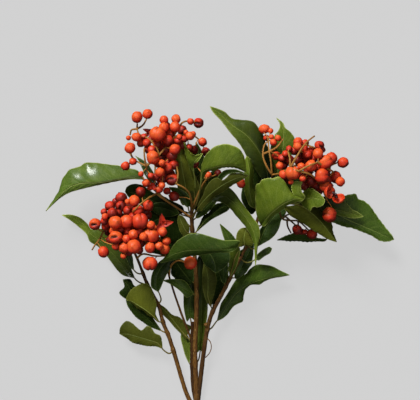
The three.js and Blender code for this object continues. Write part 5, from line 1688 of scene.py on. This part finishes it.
SPRAYS: list[Spray] = [
    Spray("fruit_west", dome=(128, 228, 46, 46, 46, 46), shoots=[
        [(131.3, 247, 38.9), (129, 239, 50), (128, 229, 58)],
        [(129, 239, 50), (118, 233, 57), (107, 224, 60)],
        [(129, 239, 50), (141, 242, 58), (153, 243, 60)],
        [(128, 229, 58), (127, 214, 60), (124, 204, 56)],
        [(128, 229, 58), (138, 218, 62), (146, 208, 60)],
        [(107, 224, 60), (99, 240, 62), (95, 245, 60), (92, 250, 58)],
        [(137, 258, 37.5), (143, 254, 48), (155, 256, 56), (166, 256, 58)],
    ], fruit=[
        (95, 224.3, 6, 0.3, SPLIT, LEVEL_SEAM), (110, 206, 5.3, 1.1), (121.3, 198, 6.1, 1.3),
        (120.8, 206.5, 5.6, 1.2, SPLIT, UPRIGHT_SEAM), (127.5, 201.5, 2.7, 0), (134.3, 200.7, 5.4, 0),
        (140.7, 192, 5.2, 1.3), (148, 205.7, 5.6, 0.7), (138, 211, 6, 0.7), (112.5, 213.5, 5.6, 1.0),
        (105, 216.7, 3.5, 0.1), (104.5, 221, 4.2, 0.6), (106, 226, 5, 0.9), (115.5, 222.3, 6.5, 0),
        (126.7, 221.7, 6.7, 0.3), (140, 221.5, 7.6, 0.4, LOBED, UPRIGHT_SEAM, 1.1), (114, 230.7, 4.8, 0.1),
        (115.5, 237.5, 6.6, 0, SPLIT, LEVEL_SEAM), (121.3, 238.5, 4, 0.5), (116, 246.3, 4.1, 0.1),
        (128, 231.3, 4.8, 0.9), (133.3, 234.5, 4.8, 0.1), (126.5, 239, 4.2, 0.1), (130.5, 241.5, 4.8, 0.4),
        (124.3, 247.5, 5.6, 0), (134, 246.6, 6.9, -0.3), (123.4, 256, 3.1, 0), (103.5, 252, 5.6, 0.6),
        (151, 225, 4.2, 0), (154, 228.3, 3.2, 0), (150.5, 235.3, 7.6, 0.1, LOBED, UPRIGHT_SEAM),
        (143.5, 236.7, 4.1, 0), (140, 232, 5, 0.7), (162.5, 232, 4.6, -0.3), (150, 247.7, 5.4, -0.2),
        (159, 246, 4.3, -0.4), (164.6, 248.7, 5.6, -0.5), (166.7, 241, 4.2, -0.6),
        (150, 263.7, 7, -1.1, LOBED, (0.1, -1, 0.6)), (162.6, 224.4, 5, 0.9, STAR, (0.1, -0.1, 1)),
        (118, 214, 4.6, 1.2), (128, 211, 5, 1.3), (147, 215, 5, 1.5), (133, 217, 4.6, 1.1),
        (121, 230, 5, 1), (134, 229, 5, 1.1), (108.5, 232, 4.2, 1.3), (121, 244, 4.4, 1.1),
        (147, 228, 4.6, 1.2), (104, 212, 3.6, 1.1), (110, 240, 4, 1.3), (141, 243, 4.6, 1.1),
        (129, 205.5, 4.4, 1.5), (157, 241, 4.4, 1.2), (134, 206, 4.6, 1.5), (146, 231, 5, 1.3),
        (137, 240, 4.8, 1.1), (112, 226, 5, 1.2), (120, 217, 4.8, 1.4), (143, 230, 4.6, 1),
        (119, 229, 5, 1), (108, 220, 4.6, 1.3), (122, 235, 5, 1), (129, 252, 4, 1.1), (139, 250, 4.4, 1),
        (118, 243, 4, 1), (155, 243, 4.4, 1.2), (116, 202, 4.4, 1.6), (145, 211, 4.4, 1.4),
    ], back=[
        (112, 214, 5.5, 30), (128, 208, 5.5, 22), (142, 214, 5.5, 18), (150, 228, 5, 24),
        (133, 226, 5.5, 20), (110, 228, 5, 34), (146, 240, 5, 44),
    ], bare=[
        [(157.5, 192.5, 42), (154, 195, 62), (147, 199, 80), (140, 204.5, 87), (132.5, 212, 84)],
    ]),
    Spray("fruit_north", dome=(163, 152, 48, 50, 46, 46), shoots=[
        [(155.6, 188, 42), (151, 183, 52), (148.5, 175, 66), (146, 166, 78)],
        [(146, 166, 78), (140, 163, 75), (134, 160, 70)],
        [(134, 160, 70), (130, 153, 65), (127, 145, 60)],
        [(134, 160, 70), (130, 163, 66), (126.5, 166, 62)],
        [(146, 166, 78), (144.5, 157, 82), (144, 149, 82)],
        [(146, 166, 78), (153, 161, 80), (159, 155, 82), (166, 147, 80), (173, 137, 74), (179, 128, 68)],
        [(159, 155, 82), (156, 147, 82), (150, 140, 80), (144, 136, 74), (139, 134, 68), (137, 129, 62)],
        [(137, 129, 62), (131.5, 130, 58), (130, 135, 56)],
        [(137, 129, 62), (137.3, 124, 58)],
        [(137, 129, 62), (143, 125, 58), (147, 118, 54)],
        [(157, 147, 82), (161, 139, 76), (163, 130, 66)],
        [(179, 128, 68), (177, 123, 62)],
        [(179, 128, 68), (182, 123, 64), (187, 121, 61), (195, 122, 58)],
        [(173, 137, 74), (182, 135, 70), (192, 135, 63), (200, 140, 56)],
        [(152, 178, 50), (158, 172, 62), (164, 162, 80)],
        [(155.6, 188, 42), (148, 185, 58), (142, 176, 66)],
        [(191.6, 209, 46), (196, 199, 52), (201, 188, 62), (206, 180, 72), (212, 176, 76)],
        [(155.6, 188, 42), (155, 172, 34), (156, 154, 22)],
        [(156, 154, 22), (166, 144, 18), (174, 138, 16)],
    ], fruit=[
        (137, 117, 5.6, 0), (147.5, 114, 5, 0.3), (164, 120, 4.4, 0), (176, 119, 4.6, 0),
        (190.5, 121.5, 3.4, 0), (198.5, 123, 5.3, 0.7, SPLIT, (1, -0.3, 0.3)), (128.5, 138, 2.5, 0.3),
        (136.5, 137, 4.6, 0), (164, 127.5, 5.2, 0.2), (157.5, 134, 7.3, 0, LOBED, UPRIGHT_SEAM),
        (149, 131.5, 3.2, 1.3, STAR, (0.3, 0.3, 0.9)), (141, 143, 4.2, 0.6), (147, 143, 4.2, 0.7),
        (130, 148, 5.4, 0), (152, 150, 4.4, 0.5), (153, 157.5, 6.2, 0, LOBED, LEVEL_SEAM),
        (165, 149, 6.8, 0.9), (168, 141, 5.8, 0.8), (175, 127, 5.4, 0.3), (170, 134, 4.6, 0.7),
        (179.5, 137, 2.8, 0), (186, 132.5, 2.6, 0.4), (190, 136, 4.4, 0), (193, 134, 3, 0.2),
        (202.5, 142, 4.4, 0.1), (125.5, 166, 4.6, 0.3), (133, 161.5, 3.9, 0.5), (162, 163, 3.4, 0),
        (160, 172, 4.8, 0.1), (175, 149.5, 5.4, 0), (141, 174, 2.8, 0), (146, 183, 4, 0.2),
        (156, 184.5, 4.6, 0.4, OPEN, (-0.3, 0.2, 0.9)), (162, 185.5, 3.4, 0), (159, 189.5, 4, 0.1),
        (194, 150, 4.6, 1), (189, 148, 4.4, 1.1), (170, 163, 5.8, 1.1), (160, 144, 4.8, 1),
        (172, 156, 5.2, 1.1), (157, 144, 4.4, 0.9), (182, 145, 4.4, 1.1), (195, 164, 4, 1.1),
        (152, 139, 4.4, 1), (163, 179, 4.6, 0.9), (158, 163, 4.6, 1), (166, 170, 4.8, 1), (170, 174, 5, 1),
        (164, 135, 4.6, 1), (184, 139, 3.8, 0.8), (160, 152, 4.8, 1.1), (167, 156, 5, 1.2),
        (148, 149, 4.2, 1), (156, 177, 4, 0.9), (151, 176, 3.2, 0.3), (178, 141, 4, 0.9),
        (144, 137, 3.6, 0.9), (206, 152, 4.6, 1.2), (167, 191, 3.8, 0.6), (150, 187.5, 3, 0.5),
        (208, 175, 3.7, -0.1), (218, 173, 3.6, 1.5),
    ], back=[
        (150, 150, 5.5, 6.6), (163, 158, 5.5, 10), (160, 140, 5.5, 8), (174, 142, 5.5, 8),
        (182, 130, 5, 20), (166, 126, 5, 18), (170, 160, 5, 14),
    ], bare=[
        [(190.8, 217, 45.3), (182, 211, 46.5), (172, 204.5, 47.5), (163, 198.8, 48), (156.5, 194, 50)],
    ]),
    Spray("fruit_top", dome=(163, 155, 48, 50, 46, 46), shoots=[
        [(191.6, 206.5, 46.5), (191.3, 201, 60), (188.5, 192, 72), (182, 186.5, 79), (176, 184, 80)],
        [(176, 184, 80), (178, 174, 80), (176, 164, 80)],
    ], fruit=[
        (172, 179.5, 6.3, 0.7, SPLIT, LEVEL_SEAM), (168, 168, 4.8, 0.6), (174, 165, 4.8, 0.9),
        (174, 196.3, 5.2, 0.9), (165, 176, 4, 1.2),
    ]),
    Spray("fruit_east", dome=(306, 165, 50, 54, 46, 46), reddening=-0.05, shoots=[
        [(270, 188, 46), (272, 182, 58), (272, 175, 70)],
        [(272, 175, 70), (266.5, 166, 74), (263.3, 158, 74), (263, 151, 72), (265, 144, 70), (270, 140, 70)],
        [(263.3, 154, 73), (270, 151, 76), (277, 147, 76), (283, 139, 70)],
        [(270, 151, 76), (275, 154, 74)],
        [(272, 175, 70), (271, 162, 76), (269, 150, 76), (268, 138, 68)],
        [(272, 175, 70), (281, 173, 84), (290, 168, 92)],
        [(290, 168, 92), (290, 160, 92), (288, 151, 84)],
        [(290, 168, 92), (295, 159, 90), (301, 150, 78), (306, 143, 68)],
        [(305, 144, 82), (312, 147, 82), (319, 149, 74)],
        [(290, 168, 92), (300, 171.5, 97), (308, 173.5, 95), (315, 178, 84), (321, 187, 66), (327, 200, 54)],
        [(299, 171, 98), (308, 166, 99), (318, 162, 94)],
        [(318, 162, 94), (326, 168, 84), (332, 165, 76), (339, 162, 66)],
        [(326, 168, 84), (332, 171, 74), (336, 175, 66)],
        [(290, 168, 92), (300, 164, 60), (306, 160, 34)],
    ], fruit=[
        (264.3, 129, 5, 0.1, ROUND, LEVEL_SEAM, 1.1), (270.6, 131, 2.8, 0), (266.3, 138, 3.2, 0.4),
        (271.5, 137, 2.7, 0.1), (278, 138, 3.1, 0.3), (273.5, 142.5, 3.6, 0.5), (282.5, 158.5, 4.6, 1),
        (285.5, 154, 3.6, 0.4), (276.5, 156, 4.6, 0.8), (279.7, 165.7, 3.9, 0), (298, 142, 4.8, 0.5),
        (297.5, 146.5, 4.3, 0), (303.5, 149, 5, 0.8), (307.5, 155, 4.6, 0.8), (311.5, 150.5, 4.4, 0.8),
        (319.5, 145.5, 4.8, 0.6, SPLIT, (-0.6, 0.5, 0.5)), (318, 153.5, 5.2, 0), (331.5, 158, 6, 0.4),
        (325, 162, 6.3, 0.2, LOBED, (0.9, 0.4, 0.2), 1.3), (343, 162.5, 5.5, 0.3), (301.3, 166.5, 3.9, 0),
        (311, 166, 5.9, 0.2), (317.5, 168, 5, 0.9), (283.7, 174.5, 4.8, 0.1),
        (292.5, 173, 6.8, 0, LOBED, UPRIGHT_SEAM), (302.8, 178.5, 3.5, 0),
        (322, 176, 7.2, 0.2, LOBED, LEVEL_SEAM), (335.5, 177, 6, 0.9), (340.3, 181.7, 4.7, 0),
        (325.5, 186.5, 5.7, 0.4), (330.5, 191, 4.6, 0.2), (334.8, 194.3, 7.2, -1, OPEN, (0.35, 0.5, 0.8)),
        (329.6, 214.7, 7, 0.2, LOBED, (-1, 0.2, 0.6)), (291, 182, 2.8, 0.2), (311, 181, 5, 1.2),
        (305, 187, 4.2, 1.4), (300, 154, 4.6, 1.1), (313, 159, 4.6, 1), (316, 185, 4.8, 1.2),
        (302, 184, 4.4, 1.4), (290, 160, 4.6, 1.1), (308, 172, 4.8, 1.3), (319, 191, 4.4, 1.3),
        (298, 160, 4.6, 1.1), (287, 180, 3.8, 1.2), (322, 149.5, 3.4, 0.9), (312, 188, 4.4, 1.5),
        (306, 160, 4.6, 1.1), (299, 174, 4.8, 1.1), (327, 167, 3.8, 1.2), (294, 151, 4, 1),
        (289, 149, 3.4, 0.8), (328, 180, 4.2, 1), (305, 143, 3.8, 0.9), (330, 186, 3.4, 0.9),
        (284, 165, 4.2, 1.1),
    ], back=[
        (303, 158, 5.5, 6.6), (314, 152, 5.5, 10), (322, 164, 5.5, 14), (294, 150, 5.5, 14),
        (326, 176, 5.5, 24), (326, 170, 5, 36),
    ], bare=[
        [(290, 168, 92), (296, 158, 96), (302, 148, 92), (308, 141, 84), (314.5, 136, 76)],
    ]),
    Spray("fruit_east_low", dome=(300, 226, 40, 40, 16, 12), reddening=0.7, dim=0.8, shoots=[
        [(279, 206.3, 46.6), (280, 213, 42), (282.5, 219, 38), (290, 220.5, 36), (298, 221, 33),
         (305, 226.5, 31), (309, 230.5, 30)],
        [(282.5, 219, 38), (286, 215.5, 37), (290, 214, 38)],
        [(286, 217, 37), (292, 222, 34), (297.5, 227, 31)],
        [(287, 219.5, 37), (287.6, 226, 33), (291, 233, 25)],
        [(298, 221, 33), (298.5, 226, 31)],
    ], fruit=[(297, 229.5, 5.2, 0), (312, 234, 5.4, 0), (305, 232, 3, 0), (301.5, 231.5, 3.2, 0.4)]),
    Spray("fruit_single", dome=(241, 184, 40, 40, 40, 16), reddening=0.2, dim=0.6, shoots=[
        [(261, 208, 44.7), (255, 199, 41), (249, 186, 41), (244, 177, 48)],
    ], fruit=[(241, 183.3, 4.6, 0, LOBED, (0.9, 0.4, 0.5))]),
    Spray("fruit_low", dome=(190, 263, 40, 40, 36, 20), shoots=[
        [(169.2, 276, 33.2), (170.5, 267, 44), (174, 262.5, 51), (179, 260.5, 55), (184, 262, 57)],
    ], fruit=[(190.5, 263, 6.6, 0, ROUND, (0.5, 0.9, 0.5))]),
]


@dataclass
class Studio:
    """The pale floor, soft lights and a camera straight above the branch.

    Attributes:
        floor_size: Width of the floor in metres.
        floor: The floor's colour.
        glow: How much light the camera sees it give, so that it is evenly pale.
        sky: Strength of the light from all round.
        key: Degrees across and strength of the light from the KEY direction.
        fill: The same for the light that softens shadows.
        fill_from: Direction that it comes from.
        sensor: Width of the camera's sensor in mm.
    """

    floor_size: float = 6.0
    floor: Rgb = (70, 70, 70)
    glow: float = 0.565
    sky: float = 0.13
    key: tuple[float, float] = (20, 4.5)
    fill: tuple[float, float] = (60, 0.65)
    fill_from: tuple[float, float, float] = (0.4, -0.3, 0.9)
    sensor: float = 36.0

    def add_light(self, name: str, source: Vector, spread: float, strength: float) -> None:
        """Adds a soft light from far off.

        Args:
            name: The light's name.
            source: Direction that it comes from.
            spread: Its size in degrees, as the branch sees it.
            strength: Its strength in watts per square metre.
        """
        data = bpy.data.lights.new(name, "SUN")
        data.angle, data.energy = math.radians(spread), strength
        light = bpy.data.objects.new(name, data)
        light.rotation_euler = (-source).to_track_quat("-Z", "Y").to_euler()
        bpy.context.scene.collection.objects.link(light)

    def add_floor(self) -> None:
        """Makes the floor."""
        recipe = Recipe("floor")
        recipe.set(Base_Color=linear(self.floor), Roughness=0.9, Specular_IOR_Level=0.0)
        seen = recipe.node("ShaderNodeLightPath", {}).outputs["Is Camera Ray"]
        recipe.set(Emission_Color=(1, 1, 1, 1), Emission_Strength=recipe.times(seen, self.glow))
        mesh = bmesh.new()
        bmesh.ops.create_grid(mesh, x_segments=1, y_segments=1, size=self.floor_size / 2)
        data = bpy.data.meshes.new("floor")
        mesh.to_mesh(data)
        mesh.free()
        data.materials.append(recipe.material)
        floor = bpy.data.objects.new("floor", data)
        bpy.context.scene.collection.objects.link(floor)

    def add_sky(self) -> None:
        """Makes the even light from all round."""
        world = bpy.data.worlds.new("studio")
        world.use_nodes = True
        sky = world.node_tree.nodes["Background"]
        sky.inputs["Color"].default_value = (1, 1, 1, 1)
        sky.inputs["Strength"].default_value = self.sky
        bpy.context.scene.world = world

    def add_camera(self) -> None:
        """Makes the camera, which covers the photograph's frame at the branch's middle height."""
        lens = bpy.data.cameras.new("camera")
        lens.sensor_width = self.sensor
        lens.lens = self.sensor * (EYE_HEIGHT - MIDDLE_HEIGHT) / (PIXEL * PHOTO_SIZE[0])
        camera = bpy.data.objects.new("camera", lens)
        camera.location = at(*PHOTO_CENTRE, 0) + Vector((0, 0, EYE_HEIGHT * MM))
        bpy.context.scene.collection.objects.link(camera)
        bpy.context.scene.camera = camera

    def build(self) -> None:
        """Makes the floor, the lights and the camera."""
        self.add_floor()
        self.add_sky()
        bpy.context.scene.view_settings.view_transform = "Standard"
        self.add_light("key", KEY, *self.key)
        self.add_light("fill", Vector(self.fill_from), *self.fill)
        self.add_camera()


def main() -> None:
    """Builds the studio and the branch."""
    logging.basicConfig(level=logging.INFO, format="%(message)s")
    log = logging.getLogger("branch")
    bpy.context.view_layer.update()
    Studio().build()
    log.info("studio")
    greens = {tone: finish.make() for tone, finish in FACES.items()}
    leaf_stalk = StalkFinish("leaf_stalk", (118, 102, 42), (114, 126, 54)).make()
    fruit_stalk = StalkFinish("fruit_stalk", (142, 100, 44), (190, 124, 56)).make()
    skin, seed = CapsuleFinish().make(), SeedFinish().make()
    Wood().build(BarkFinish().make(), CutFinish().make(), LEAVES)
    log.info("wood")
    for leaf in LEAVES:
        leaf.build(greens, leaf_stalk)
        log.info("leaf %s, %s", leaf.name, leaf.tone.value)
    for spray in SPRAYS:
        spray.build(skin, seed, fruit_stalk)
        log.info("spray %s, %d capsules", spray.name, len(spray.fruit) + len(spray.back))


if __name__ == "__main__":
    main()
